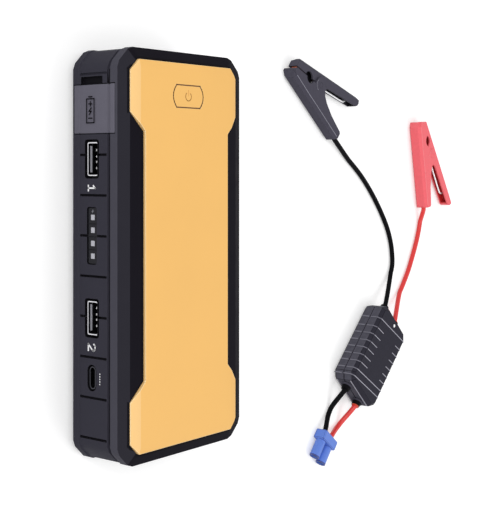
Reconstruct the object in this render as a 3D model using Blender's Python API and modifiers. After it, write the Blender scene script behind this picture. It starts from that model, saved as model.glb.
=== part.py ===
"""Jump starter pack with its unplugged clamp lead.

The pack lies on its back on a flat surface, at z = 0, with its front plate facing up. +Y is the
pack's top end, and -X is the side with the ports. The lead lies on the same surface, on the +X side.
The origin is the centre of the pack's back. Lengths are in metres.
"""

import math

import bmesh
import bpy
from mathutils import Matrix, Vector

MM = 0.001
GAP = 0.3 * MM               # between pieces that touch
LOOSE = 0.6 * MM             # around pieces that slide or swing
PAST = 1.0 * MM              # how far a cutter reaches past the face that it cuts through

# ---- pack, overall ----
PACK_WIDTH = 74.8 * MM
PACK_LENGTH = 163.6 * MM
PACK_THICKNESS = 31.6 * MM
CORNER_CUT = 8.2 * MM        # each corner is cut across, this far along both sides
CORNER_EASE = 1.0 * MM       # a small facet eases both ends of that cut

# ---- rubber bumper around the pack ----
BACK_LIP = 6.0 * MM          # how far the bumper wraps onto the back
BACK_LIP_HEIGHT = 0.5 * MM   # its inner edge stands this far above the surface
BACK_RIDGE_LOW = 3.5 * MM
BACK_RIDGE_WIDTH = 3.0 * MM
FRONT_RIDGE_HIGH = PACK_THICKNESS - 3.5 * MM
FRONT_RIDGE_WIDTH = 3.9 * MM
GROOVE_WIDTH = 2.0 * MM      # between the pads and the front ridge
GROOVE_DEPTH = 1.2 * MM
PAD_DEPTH = 0.4 * MM         # the pads lie this far below the ridges
FRONT_SLOPE = 5.0 * MM       # the steep part of the front border
FRONT_SLOPE_RISE = 1.9 * MM
FRONT_BORDER = 14.5 * MM     # the flatter part ends here
FRONT_BORDER_RISE = 2.8 * MM
BUMPER_WALL = 4.0 * MM
BACK_LIP_THICKNESS = 2.4 * MM
SEAM_PITCH = PACK_LENGTH / 10.3
SEAM_WIDTH = 1.0 * MM        # the side pads are parted by seams
SEAM_DEPTH = 0.9 * MM
SEAMS_PER_SIDE = 10

# ---- front plate ----
PLATE_LENGTH = PACK_LENGTH - 9.6 * MM
PLATE_WIDE = PACK_WIDTH - 10.2 * MM
PLATE_NARROW = PACK_WIDTH - 24.2 * MM
PLATE_CORNER = 4.4 * MM
PLATE_WIDE_END = 20.6 * MM   # length of each wide end
PLATE_TAPER = 7.6 * MM       # length of the slanted edge below it
PLATE_THICKNESS = 3.1 * MM
PLATE_MARGIN = 9.4 * MM      # the plate slopes down outside this line, from the pack's side
PLATE_MARGIN_DROP = 1.5 * MM
PLATE_END_MARGIN = 7.6 * MM
DECK_HIGH = PACK_THICKNESS - PLATE_THICKNESS - GAP   # the hard shell's front, under the plate

# ---- power button ----
BUTTON_LENGTH = 18.0 * MM
BUTTON_WIDTH = 8.8 * MM
BUTTON_BULGE = 2.0 * MM
BUTTON_Y = PLATE_LENGTH / 2 - 13.4 * MM
BUTTON_FLANGE = 1.0 * MM
BUTTON_TRAVEL = 0.6 * MM
BUTTON_STEM_RADIUS = 1.4 * MM
SWITCH_SIZE = 6.0 * MM
SWITCH_HIGH = DECK_HIGH - 4.2 * MM
SWITCH_LOW = SWITCH_HIGH - 3.4 * MM
SWITCH_WELL = 1.8 * MM
SWITCH_BOARD = (30.4 * MM, 8.0 * MM, 1.2 * MM)
SWITCH_POST_RADIUS = 1.8 * MM
SWITCH_POST_OFFSET = 13.2 * MM

# ---- hard shells ----
SHELL_WALL = 1.8 * MM
SHELL_SPLIT = 15.0 * MM
SCREW_X = PACK_WIDTH / 2 - 11.4 * MM
SCREW_Y = PACK_LENGTH / 2 - 10.6 * MM
SCREW_BOSS_RADIUS = 3.4 * MM
SCREW_BOSS_HIGH = 10.0 * MM
SCREW_HEAD_RADIUS = 2.2 * MM
SCREW_HEAD_HEIGHT = 1.4 * MM
SCREW_HEAD_LOW = 1.2 * MM
SCREW_SHANK_RADIUS = 1.1 * MM
SCREW_TIP = 18.0 * MM
SCREW_PILOT = 2.0 * MM       # the hole in the boss goes this far past the tip
SCREW_SLOT = (0.8 * MM, 0.6 * MM)
BOARD_POST_RADIUS = 2.2 * MM
BOARD_POST_IN = (3.0 * MM, 8.0 * MM)   # from the board's inner edge and its ends

# ---- ports in the -X side ----
PORT_Z = 13.7 * MM
PORT_RECESS = 0.5 * MM       # port mouths lie this far below the pads
USB_A_SIZE = (13.2 * MM, 5.7 * MM, 14.0 * MM)
USB_A_WALL = 0.4 * MM
USB_A_TONGUE = (11.1 * MM, 1.8 * MM, 8.5 * MM)
USB_A_TONGUE_DROP = 0.5 * MM
USB_A_PLACES = {"upper": 2.395 * SEAM_PITCH, "lower": -1.535 * SEAM_PITCH}
USB_A_BEZEL = 1.1 * MM
USB_A_BEZEL_CORNER = 1.2 * MM
USB_A_CORNER = 0.5 * MM
USB_A_INNER_CORNER = 0.3 * MM
USB_A_REAR = 1.0 * MM        # thickness of the receptacle's rear wall
USB_A_ROOT = 3.0 * MM        # the tongue's thick rear part
USB_C_SIZE = (8.9 * MM, 3.3 * MM, 7.3 * MM)
USB_C_WALL = 0.35 * MM
USB_C_TONGUE = (6.6 * MM, 0.8 * MM, 5.0 * MM)
USB_C_Y = -3.01 * SEAM_PITCH
USB_C_BEZEL = 0.8 * MM
USB_C_REAR = 0.6 * MM
USB_C_ROOT = 1.2 * MM
USB_C_LEG = (1.0 * MM, 1.2 * MM)
USB_C_LEG_REAR = 1.0 * MM    # from the receptacle's rear to its two legs
WINDOW_SIZE = (22.0 * MM, 4.9 * MM, 4.4 * MM)
WINDOW_CORNER = 0.8 * MM
WINDOW_Y = 0.5 * SEAM_PITCH

# ---- flap over the jump socket ----
COVER_Y = 3.63 * SEAM_PITCH
COVER_LENGTH = 19.2 * MM
COVER_LOW = 4.2 * MM
COVER_HIGH = FRONT_RIDGE_HIGH - 1.5 * MM
COVER_THICKNESS = 2.4 * MM
NOTCH_LENGTH = 2.9 * MM      # finger notch above the flap
NOTCH_WIDTH = 12.0 * MM
NOTCH_DEPTH = 1.6 * MM
NOTCH_Z = 13.6 * MM

# ---- two-pin jump socket and the plug that fits it ----
BARREL_PITCH = 7.0 * MM
BARREL_RADIUS = 2.6 * MM
BARREL_LENGTH = 9.2 * MM
BARREL_FIT = 0.4 * MM
SOCKET_WALL = 1.0 * MM
SOCKET_CORNER = 1.5 * MM
SOCKET_DEPTH = 12.6 * MM
SOCKET_CAVITY = 9.7 * MM
PIN_RADIUS = 1.3 * MM
PIN_RECESS = 1.3 * MM
PIN_TAIL = 1.6 * MM
PLUG_FLANGE = (13.2 * MM, 5.2 * MM, 6.6 * MM)
PLUG_BORE_RADIUS = 2.0 * MM
PLUG_TUBE_RADIUS = 1.7 * MM
PLUG_TUBE_WALL = 0.3 * MM
PLUG_TUBE_RECESS = 1.0 * MM
PLUG_EDGE = 0.5 * MM

# ---- inside the pack ----
BOARD_X = (6.5 * MM - PACK_WIDTH / 2, 26.4 * MM - PACK_WIDTH / 2)
BOARD_Y = (14.5 * MM - PACK_LENGTH / 2, COVER_Y - 10.757087 * MM)
BOARD_THICKNESS = 1.6 * MM
CELL_X = (BOARD_X[1] + 1.6 * MM, PACK_WIDTH / 2 - 8.8 * MM)
CELL_Y = (21.0 * MM - PACK_LENGTH / 2, COVER_Y - 7.257087 * MM)
CELL_COUNT = 3
CELL_CORNER = 2.0 * MM
CELL_PAD_THICKNESS = 1.5 * MM
WIRE_RADIUS = 1.5 * MM
WIRE_STEP = 2.4 * MM

# The tall components on the main board: how far in they start from its outer edge, in millimetres,
# the place of their middle along the pack, in seam pitches, and their three sizes, in millimetres.
BOARD_CHIPS = (
    (0.9, -3.6516, (10, 8, 3.0)),
    (0.9, -0.5037, (12, 8, 2.4)),
    (8.9, 1.4795, (7, 7, 4.2)),
)
# The two heavy wires, in millimetres: their reach along X, and their bends from the contact's tail
# and from the cell's end.
WIRES = {
    "positive": (21.0, [(4, 0, 0), (10, -3, 0.2)], [(-5, 5.6, -7.0), (-1, 4.4, -1.6), (0, 2.4, 0)]),
    "negative": (15.0, [(3, 0, 0)], [(-7, 3.6, 4.0), (-2, 4.0, 0.8), (0, 2.4, 0)]),
}

# ---- torch in the top end ----
TORCH_X = SCREW_X - 11.0 * MM
TORCH_RADIUS = 5.3 * MM
TORCH_DEPTH = 8.2 * MM
TORCH_LENS_THICKNESS = 2.4 * MM
TORCH_LED = (3.4 * MM, 2.0 * MM)
REFLECTOR_BACK_RADIUS = 3.2 * MM
REFLECTOR_WALL = 0.8 * MM
REFLECTOR_HOLE_RADIUS = 1.2 * MM

# ---- clamps ----
# Their outlines are in sixtieths of the length: p runs from the jaw tip to the cord, and q runs
# across, from the back of the lever that carries the cord.
CLAMP_LENGTH = 50.0 * MM
CLAMP_WIDTH = 7.6 * MM
CLAMP_WALL = 0.8 * MM
CLAMP_EDGE = 1.5 * MM        # the long edges of both levers' backs are cut off this far
CLAMP_UNIT = CLAMP_LENGTH / 60
CLAMP_PIVOT = (25.5, 14.6)
CLAMP_BOSS = 5.0
CLAMP_CORD = 3.3
JAW_START = (1.2, 6.8)
JAW_SLOPE = 0.3
JAW_PARTING = 0.8            # half the gap between the two levers' jaws
JAW_HOLE = (14.4, 10.8)
JAW_PLATE = (2.5, 10.2)
JAW_PLATE_THICKNESS = 1.5
TOOTH_COUNT = 5
TOOTH_HEIGHT = 0.9
TOOTH_PARTING = 0.25
LEVER_START = 14.4
LEVER_SLOPE = 0.41
JAW_HOLE_RADIUS = 3.1 * MM
PIN_SHAFT_RADIUS = 1.4 * MM
PIN_FIT = 0.1 * MM           # the pin sits this close in the cord lever
SPRING_ROOM = CLAMP_WIDTH - 4 * CLAMP_WALL - 2 * GAP   # between the moving lever's sides
SPRING_WIRE = SPRING_ROOM * 7 / 76
SPRING_RADIUS = 2.2 * MM
SPRING_TURNS = 2.5
SPRING_WIDTH = SPRING_ROOM * 12 / 19

# ---- control box on the lead ----
BOX_LENGTH = 50.0 * MM
BOX_WIDTH = 30.0 * MM
BOX_HEIGHT = 13.0 * MM
BOX_CORNER = 3.6 * MM
BOX_WALL = 1.5 * MM
BOX_SPLIT = BOX_HEIGHT / 2 + 0.1 * MM
BOX_EDGE = 1.6 * MM
BOX_CORD_OFFSET = 7.0 * MM
BOX_LIGHT_RADIUS = 0.9 * MM
BOX_LIGHT_IN = 4.2 * MM      # from the box's clamp end
BOX_LIGHT_LENGTH = 3.0 * MM
BOX_LIGHT_SUNK = 0.1 * MM
BOX_FACE = BOX_HEIGHT / 2 - 4.0 * MM   # its top and bottom leave room for the bushes between them
BOX_BOARD_THICKNESS = 1.2 * MM
BOX_BOARD_IN = 1.2 * MM      # from the bushes and the walls to the board
BOOT_RADIUS = 2.7 * MM
BOOT_TAPER = 0.5 * MM
BOOT_LENGTH = 3.2 * MM
BOOT_NECK_RADIUS = 2.2 * MM
BOOT_FLANGE_RADIUS = 3.0 * MM
BOOT_FLANGE = 1.2 * MM

CORD_RADIUS = 1.3 * MM
CORD_IN_CLAMP = 3.5 * MM     # how far each cord reaches into its clamp and into the plug
CORD_IN_PLUG = 2.0 * MM

# ---- where the lead's pieces lie: place, and heading in degrees from +X ----
BLACK_CLAMP_TIP = (105.5 * MM, 81.0 * MM)
BLACK_CLAMP_HEADING = -40.2
RED_CLAMP_TIP = (228.8 * MM, 60.4 * MM)
RED_CLAMP_HEADING = -80.0
BOX_END = (195.4 * MM, -49.2 * MM)
BOX_HEADING = -135.0
PLUG_PLACE = (141.5 * MM, -104.2 * MM)
PLUG_HEADING = -130.0

TUBE_RESOLUTION = 3
ROUND_SEGMENTS = 20


# ---------------------------------------------------------------- scene and materials


def clear_scene():
    for obj in list(bpy.data.objects):
        bpy.data.objects.remove(obj, do_unlink=True)


def new_collection(name, hidden=False):
    collection = bpy.data.collections.new(name)
    bpy.context.scene.collection.children.link(collection)
    collection.hide_render = hidden
    return collection


def material(name, color, roughness, metallic=0.0):
    made = bpy.data.materials.new(name)
    made.use_nodes = True
    shader = made.node_tree.nodes["Principled BSDF"]
    shader.inputs["Base Color"].default_value = (*color, 1.0)
    shader.inputs["Roughness"].default_value = roughness
    shader.inputs["Metallic"].default_value = metallic
    made.diffuse_color = (*color, 1.0)
    return made


clear_scene()
PARTS = new_collection("jump_starter_pack")
CUTTERS = new_collection("cutters", hidden=True)

RUBBER = material("bumper_rubber", (0.045, 0.045, 0.055), 0.62)
COVER_RUBBER = material("cover_rubber", (0.10, 0.10, 0.115), 0.6)
SHELL_PLASTIC = material("shell_plastic", (0.03, 0.03, 0.035), 0.5)
PLATE_PLASTIC = material("plate_plastic", (0.90, 0.52, 0.16), 0.42)
PORT_METAL = material("port_metal", (0.78, 0.78, 0.80), 0.25, 1.0)
PORT_PLASTIC = material("port_plastic", (0.02, 0.02, 0.02), 0.5)
WINDOW_PLASTIC = material("window_plastic", (0.05, 0.05, 0.06), 0.15)
LENS_PLASTIC = material("lens_plastic", (0.85, 0.88, 0.90), 0.05)
REFLECTOR_METAL = material("reflector_metal", (0.85, 0.85, 0.86), 0.1, 1.0)
CONNECTOR_BLUE = material("connector_blue", (0.08, 0.19, 0.62), 0.4)
BRASS = material("contact_brass", (0.83, 0.62, 0.27), 0.3, 1.0)
BOARD_GREEN = material("board_green", (0.02, 0.16, 0.07), 0.5)
CELL_WRAP = material("cell_wrap", (0.42, 0.45, 0.50), 0.35)
FOAM = material("cell_foam", (0.15, 0.15, 0.15), 0.9)
STEEL = material("fastener_steel", (0.55, 0.55, 0.57), 0.3, 1.0)
COPPER = material("jaw_copper", (0.80, 0.42, 0.25), 0.32, 1.0)
BLACK_PLASTIC = material("black_clamp_plastic", (0.05, 0.05, 0.06), 0.5)
RED_PLASTIC = material("red_clamp_plastic", (0.80, 0.06, 0.07), 0.45)
BLACK_CORD = material("black_cord_rubber", (0.02, 0.02, 0.022), 0.5)
RED_CORD = material("red_cord_rubber", (0.72, 0.03, 0.02), 0.45)


# ---------------------------------------------------------------- shapes


def add_mesh(name, mesh, look, collection=None):
    obj = bpy.data.objects.new(name, mesh)
    if look is not None:
        mesh.materials.append(look)
    (collection or PARTS).objects.link(obj)
    return obj


def mesh_from(name, bm):
    bmesh.ops.recalc_face_normals(bm, faces=bm.faces)
    mesh = bpy.data.meshes.new(name)
    bm.to_mesh(mesh)
    bm.free()
    return mesh


def smooth(obj, angle=35.0):
    obj.data.shade_smooth()
    obj.data.set_sharp_from_angle(angle=math.radians(angle))
    return obj


def box(name, low, high, look=None, collection=None):
    bm = bmesh.new()
    bmesh.ops.create_cube(bm, size=1.0)
    size = Vector(high) - Vector(low)
    middle = (Vector(high) + Vector(low)) / 2
    bmesh.ops.scale(bm, vec=size, verts=bm.verts)
    bmesh.ops.translate(bm, vec=middle, verts=bm.verts)
    return add_mesh(name, mesh_from(name, bm), look, collection)


def rod(name, start, end, radius, look=None, collection=None, end_radius=None, segments=ROUND_SEGMENTS):
    """A cylinder or cone between two points."""
    start, end = Vector(start), Vector(end)
    along = end - start
    bm = bmesh.new()
    bmesh.ops.create_cone(
        bm, cap_ends=True, segments=segments, radius1=radius,
        radius2=radius if end_radius is None else end_radius, depth=along.length,
    )
    turn = along.to_track_quat("Z", "Y").to_matrix().to_4x4()
    place = Matrix.Translation((start + end) / 2) @ turn
    bmesh.ops.transform(bm, matrix=place, verts=bm.verts)
    return smooth(add_mesh(name, mesh_from(name, bm), look, collection))


def curve_to_mesh(name, curve, look, collection):
    """The closed mesh of a curve object, its loose caps welded."""
    holder = bpy.data.objects.new(name + "_curve", curve)
    bpy.context.scene.collection.objects.link(holder)
    graph = bpy.context.evaluated_depsgraph_get()
    mesh = bpy.data.meshes.new_from_object(holder.evaluated_get(graph))
    bpy.data.objects.remove(holder, do_unlink=True)
    bm = bmesh.new()
    bm.from_mesh(mesh)
    bpy.data.meshes.remove(mesh)
    bmesh.ops.remove_doubles(bm, verts=bm.verts, dist=0.000001)
    return add_mesh(name, mesh_from(name, bm), look, collection)


def outline_solid(name, outline, low, high, look=None, collection=None):
    """A flat outline in X and Y, filled and extruded from one height to another."""
    curve = bpy.data.curves.new(name, "CURVE")
    curve.dimensions = "2D"
    curve.fill_mode = "BOTH"
    curve.extrude = (high - low) / 2
    spline = curve.splines.new("POLY")
    spline.points.add(len(outline) - 1)
    for point, (x, y) in zip(spline.points, outline):
        point.co = (x, y, 0.0, 1.0)
    spline.use_cyclic_u = True
    obj = curve_to_mesh(name, curve, look, collection)
    obj.data.transform(Matrix.Translation((0, 0, (low + high) / 2)))
    return obj


SIDEWAYS = Matrix(((0, 0, 1, 0), (1, 0, 0, 0), (0, 1, 0, 0), (0, 0, 0, 1)))


def side_solid(name, outline, low, high, look=None, collection=None):
    """An outline given in Y and Z, extruded along X."""
    obj = outline_solid(name, outline, low, high, look, collection)
    obj.data.transform(SIDEWAYS)
    return obj


def tube(name, points, radius, look, resolution=TUBE_RESOLUTION):
    """A round cord or wire: a poly spline with filled caps."""
    curve = bpy.data.curves.new(name, "CURVE")
    curve.dimensions = "3D"
    curve.bevel_depth = radius
    curve.bevel_resolution = resolution
    curve.use_fill_caps = True
    spline = curve.splines.new("POLY")
    spline.points.add(len(points) - 1)
    for point, place in zip(spline.points, points):
        point.co = (*place, 1.0)
    curve.materials.append(look)
    obj = bpy.data.objects.new(name, curve)
    PARTS.objects.link(obj)
    return obj


def smooth_route(points, spacing):
    """Points about this far apart on a smooth curve; the first and last stretch stay straight."""
    points = [Vector(point) for point in points]
    dense = []
    steps = 24
    for before, start, end, after in zip(points, points[1:], points[2:], points[3:]):
        for step in range(steps):
            t = step / steps
            dense.append(0.5 * (
                2 * start + (end - before) * t
                + (2 * before - 5 * start + 4 * end - after) * t ** 2
                + (3 * start - before - 3 * end + after) * t ** 3
            ))
    dense.append(points[-2])
    lengths = [0.0]
    for first, second in zip(dense, dense[1:]):
        lengths.append(lengths[-1] + (second - first).length)
    count = max(2, round(lengths[-1] / spacing))
    route = [points[0]]
    index = 0
    for number in range(count + 1):
        wanted = lengths[-1] * number / count
        while index < len(dense) - 2 and lengths[index + 1] < wanted:
            index += 1
        share = (wanted - lengths[index]) / (lengths[index + 1] - lengths[index])
        route.append(dense[index].lerp(dense[index + 1], min(share, 1.0)))
    return [*route, points[-1]]


def loft(name, sections, look=None, collection=None):
    """A closed solid through outlines of like point counts, each with its height."""
    bm = bmesh.new()
    rings = [[bm.verts.new((x, y, z)) for x, y in outline] for outline, z in sections]
    for lower, upper in zip(rings, rings[1:]):
        count = len(lower)
        for index in range(count):
            after = (index + 1) % count
            bm.faces.new((lower[index], lower[after], upper[after], upper[index]))
    bm.faces.new(list(reversed(rings[0])))
    bm.faces.new(rings[-1])
    return add_mesh(name, mesh_from(name, bm), look, collection)


def boolean(target, other, operation="DIFFERENCE"):
    """Cuts or joins with another object, which becomes a hidden guide."""
    modifier = target.modifiers.new(other.name, "BOOLEAN")
    modifier.operation = operation
    modifier.object = other
    modifier.solver = "EXACT"
    other.hide_render = True
    other.display_type = "WIRE"
    for collection in list(other.users_collection):
        collection.objects.unlink(other)
    CUTTERS.objects.link(other)
    return target


def soften(obj, width, angle=30.0, segments=1):
    modifier = obj.modifiers.new("edges", "BEVEL")
    modifier.width = width
    modifier.segments = segments
    modifier.limit_method = "ANGLE"
    modifier.angle_limit = math.radians(angle)
    return obj


def joined(name, objects):
    """Several separate cutters as one mesh, so that one Boolean makes all their cuts."""
    bm = bmesh.new()
    for obj in objects:
        bm.from_mesh(obj.data)
        bpy.data.objects.remove(obj, do_unlink=True)
    return add_mesh(name, mesh_from(name, bm), None, CUTTERS)


def frame_empty(name, place):
    """The empty that carries the pieces of one frame or joint, made once."""
    empty = bpy.data.objects.get(name)
    if empty is None:
        empty = bpy.data.objects.new(name, None)
        PARTS.objects.link(empty)
        empty.matrix_world = place
        bpy.context.view_layer.update()
    return empty


def attach(piece, parent, place):
    """Puts a piece that was built in a local frame, and its cutters, at their place."""
    for modifier in piece.modifiers:
        if modifier.type == "BOOLEAN":
            modifier.object.matrix_world = place
    piece.parent = parent
    piece.matrix_parent_inverse = parent.matrix_world.inverted()
    piece.matrix_world = place


# ---------------------------------------------------------------- outlines


def cut_corner_outline(half_x, half_y, cut, ease=0.0):
    """A rectangle with cut corners; ease adds a small facet at both ends of each cut."""
    far = cut * 0.68
    corner = [(0.0, cut), (ease, far), (far, ease), (cut, 0.0)] if ease else [(0.0, cut), (cut, 0.0)]
    points = []
    for sign_x, sign_y in ((1, 1), (-1, 1), (-1, -1), (1, -1)):
        steps = corner if sign_x == sign_y else corner[::-1]
        points += [(sign_x * (half_x - x), sign_y * (half_y - y)) for x, y in steps]
    return points


def pack_outline(inset):
    """The pack's outline, moved in by the same distance all round."""
    cut = CORNER_CUT - inset * (2 - math.sqrt(2))
    ease = CORNER_EASE * cut / CORNER_CUT
    return cut_corner_outline(PACK_WIDTH / 2 - inset, PACK_LENGTH / 2 - inset, cut, ease)


def slot_outline(length, width, center=(0.0, 0.0), segments=8):
    """A long hole with round ends, its length along the first axis."""
    radius = width / 2
    reach = length / 2 - radius
    points = []
    for end, start in ((1, -90), (-1, 90)):
        for step in range(segments + 1):
            angle = math.radians(start + 180 * step / segments)
            points.append((
                center[0] + end * reach + radius * math.cos(angle),
                center[1] + radius * math.sin(angle),
            ))
    return points


def rounded_outline(length, width, radius, center=(0.0, 0.0), segments=3):
    points = []
    corners = ((1, 1, 0), (-1, 1, 90), (-1, -1, 180), (1, -1, 270))
    for sign_x, sign_y, start in corners:
        for step in range(segments + 1):
            angle = math.radians(start + 90 * step / segments)
            points.append((
                center[0] + sign_x * (length / 2 - radius) + radius * math.cos(angle),
                center[1] + sign_y * (width / 2 - radius) + radius * math.sin(angle),
            ))
    return points


def plate_outline(grow=0.0):
    """The waisted outline of the front plate: wide ends, slanted edges, a narrower middle."""
    half = PLATE_LENGTH / 2 + grow
    wide = PLATE_WIDE / 2 + grow
    narrow = PLATE_NARROW / 2 + grow
    corner = PLATE_CORNER + grow * (2 - math.sqrt(2))
    wide_end = PLATE_LENGTH / 2 - PLATE_WIDE_END
    narrow_end = wide_end - PLATE_TAPER
    quarter = [
        (narrow, narrow_end - grow * 0.4), (wide, wide_end - grow * 0.4), (wide, half - corner),
        (wide - corner, half),
    ]
    right = [(x, -y) for x, y in reversed(quarter)] + quarter
    return right + [(-x, y) for x, y in reversed(right)]


def button_outline(length, width, bulge):
    """A flat-sided button whose short ends bulge outwards."""
    points = []
    steps = 6
    for sign in (1, -1):
        for step in range(steps + 1):
            t = -1 + 2 * step / steps
            points.append((sign * (length / 2 - bulge * t * t), sign * t * width / 2))
    return points


def ring_points(center, radius, start, end, steps):
    """Points on an arc, in degrees."""
    return [
        (
            center[0] + radius * math.cos(math.radians(start + (end - start) * step / steps)),
            center[1] + radius * math.sin(math.radians(start + (end - start) * step / steps)),
        )
        for step in range(steps + 1)
    ]


# ---------------------------------------------------------------- bumper and its flap

SIDE_X = -PACK_WIDTH / 2
PAD_X = SIDE_X + PAD_DEPTH
PORT_X = PAD_X + PORT_RECESS
SHELL_INSET = BUMPER_WALL + GAP
SHELL_X = SIDE_X + SHELL_INSET
PAD_LOW = BACK_RIDGE_LOW + BACK_RIDGE_WIDTH
GROOVE_HIGH = FRONT_RIDGE_HIGH - FRONT_RIDGE_WIDTH
PAD_HIGH = GROOVE_HIGH - GROOVE_WIDTH
LIP_HIGH = BACK_LIP_HEIGHT + BACK_LIP_THICKNESS
STEP = 0.3 * MM              # height of the small slopes between pads, ridges and groove


def bumper_solid(name, look, collection=None):
    """The outside of the bumper, before anything is cut out of it."""
    sections = [
        (BACK_LIP_HEIGHT, BACK_LIP),
        (BACK_RIDGE_LOW, 0.0),
        (PAD_LOW, 0.0),
        (PAD_LOW + STEP, PAD_DEPTH),
        (PAD_HIGH, PAD_DEPTH),
        (PAD_HIGH + STEP, GROOVE_DEPTH),
        (GROOVE_HIGH - STEP, GROOVE_DEPTH),
        (GROOVE_HIGH, 0.0),
        (FRONT_RIDGE_HIGH, 0.0),
        (FRONT_RIDGE_HIGH + FRONT_SLOPE_RISE, FRONT_SLOPE),
        (FRONT_RIDGE_HIGH + FRONT_BORDER_RISE, FRONT_BORDER),
    ]
    return loft(name, [(pack_outline(inset), z) for z, inset in sections], look, collection)


def seam_cutters():
    cutters = []
    for number in range(SEAMS_PER_SIDE):
        y = (number - (SEAMS_PER_SIDE - 1) / 2) * SEAM_PITCH
        for sign in (-1, 1):
            inner = sign * (PACK_WIDTH / 2 - PAD_DEPTH - SEAM_DEPTH)
            outer = sign * (PACK_WIDTH / 2 + SEAM_DEPTH)
            cutters.append(box(
                f"seam_{number}_{sign}",
                (min(inner, outer), y - SEAM_WIDTH / 2, PAD_LOW + STEP + GAP),
                (max(inner, outer), y + SEAM_WIDTH / 2, PAD_HIGH - GAP),
            ))
    return joined("seams", cutters)


def usb_c_outline(grow):
    return slot_outline(USB_C_SIZE[0] + 2 * grow, USB_C_SIZE[1] + 2 * grow, (USB_C_Y, PORT_Z))


def port_cutter(name, grow, high):
    """The openings of the ports and the indicator window through the -X side, up to a depth."""
    start = SIDE_X - 2 * PAST
    cutters = [
        side_solid(f"{name}_{place}", rounded_outline(
            USB_A_SIZE[0] + 2 * grow, USB_A_SIZE[1] + 2 * grow, USB_A_BEZEL_CORNER, (y, PORT_Z)),
            start, high)
        for place, y in USB_A_PLACES.items()
    ]
    cutters.append(side_solid(f"{name}_c", usb_c_outline(min(grow, USB_C_BEZEL)), start, high))
    cutters.append(side_solid(f"{name}_window", rounded_outline(
        WINDOW_SIZE[0] + 2 * GAP, WINDOW_SIZE[1] + 2 * GAP, WINDOW_CORNER + GAP,
        (WINDOW_Y, PORT_Z)), start, high))
    return joined(name, cutters)


SOCKET_CAVITY_SIZE = (
    BARREL_PITCH + 2 * (BARREL_RADIUS + BARREL_FIT),
    2 * (BARREL_RADIUS + BARREL_FIT),
)
SOCKET_SIZE = (SOCKET_CAVITY_SIZE[0] + 2 * SOCKET_WALL, SOCKET_CAVITY_SIZE[1] + 2 * SOCKET_WALL)
SOCKET_X = SIDE_X + COVER_THICKNESS + GAP


def socket_outline(grow=0.0):
    return rounded_outline(
        SOCKET_SIZE[0] + 2 * grow, SOCKET_SIZE[1] + 2 * grow, SOCKET_CORNER, (COVER_Y, PORT_Z))


def torch_hole(name, radius):
    end = PACK_LENGTH / 2 + PAST
    start = PACK_LENGTH / 2 - SHELL_INSET - SHELL_WALL - PAST
    return rod(name, (TORCH_X, start, PORT_Z), (TORCH_X, end, PORT_Z), radius)


def make_bumper():
    bumper = bumper_solid("bumper_frame", RUBBER)
    boolean(bumper, loft("bumper_inside", [
        (pack_outline(BUMPER_WALL), LIP_HIGH), (pack_outline(BUMPER_WALL), DECK_HIGH + GAP)]))
    boolean(bumper, outline_solid("plate_opening", plate_outline(GAP), DECK_HIGH, PACK_THICKNESS + GAP))
    back = pack_outline(BACK_LIP)
    boolean(bumper, loft("back_opening", [(back, -GAP), (back, LIP_HIGH + GAP)]))
    boolean(bumper, seam_cutters())
    boolean(bumper, port_cutter("bumper_ports", USB_A_BEZEL, SHELL_X + PAST))
    half = COVER_LENGTH / 2 + GAP
    boolean(bumper, box(
        "cover_recess", (SIDE_X - PAST, COVER_Y - half, COVER_LOW - GAP),
        (SIDE_X + COVER_THICKNESS + GAP, COVER_Y + half, COVER_HIGH + GAP)))
    boolean(bumper, side_solid("socket_opening", socket_outline(GAP), SIDE_X + PAST, SHELL_X + PAST))
    notch_low = COVER_Y + half - PAST
    boolean(bumper, box(
        "finger_notch", (SIDE_X - PAST, notch_low, NOTCH_Z - NOTCH_WIDTH / 2),
        (PAD_X + NOTCH_DEPTH, notch_low + NOTCH_LENGTH + PAST, NOTCH_Z + NOTCH_WIDTH / 2)))
    boolean(bumper, torch_hole("bumper_torch_hole", TORCH_RADIUS + GAP))
    return bumper


def make_cover():
    """The flap: the bumper's own outer shape, cut out over the jump socket."""
    cover = bumper_solid("port_cover", COVER_RUBBER)
    boolean(cover, box(
        "cover_block", (SIDE_X - PAST, COVER_Y - COVER_LENGTH / 2, COVER_LOW),
        (SIDE_X + COVER_THICKNESS, COVER_Y + COVER_LENGTH / 2, COVER_HIGH)), "INTERSECT")
    hinge = (SIDE_X, COVER_Y - COVER_LENGTH / 2, (COVER_LOW + COVER_HIGH) / 2)
    attach(cover, frame_empty("port_cover_hinge", Matrix.Translation(hinge)), Matrix.Identity(4))
    return cover


# ---------------------------------------------------------------- hard shells, plate, screws


def shell_screws():
    return [(x, y) for x in (-SCREW_X, SCREW_X) for y in (-SCREW_Y, SCREW_Y)]


def board_posts():
    across, along = BOARD_POST_IN
    x = BOARD_X[1] - across
    return [(x, BOARD_Y[0] + along), (x, (BOARD_Y[0] + BOARD_Y[1]) / 2), (x, BOARD_Y[1] - along)]


BOARD_HIGH = PORT_Z - USB_A_SIZE[1] / 2 - GAP
BOARD_LOW = BOARD_HIGH - BOARD_THICKNESS


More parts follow.
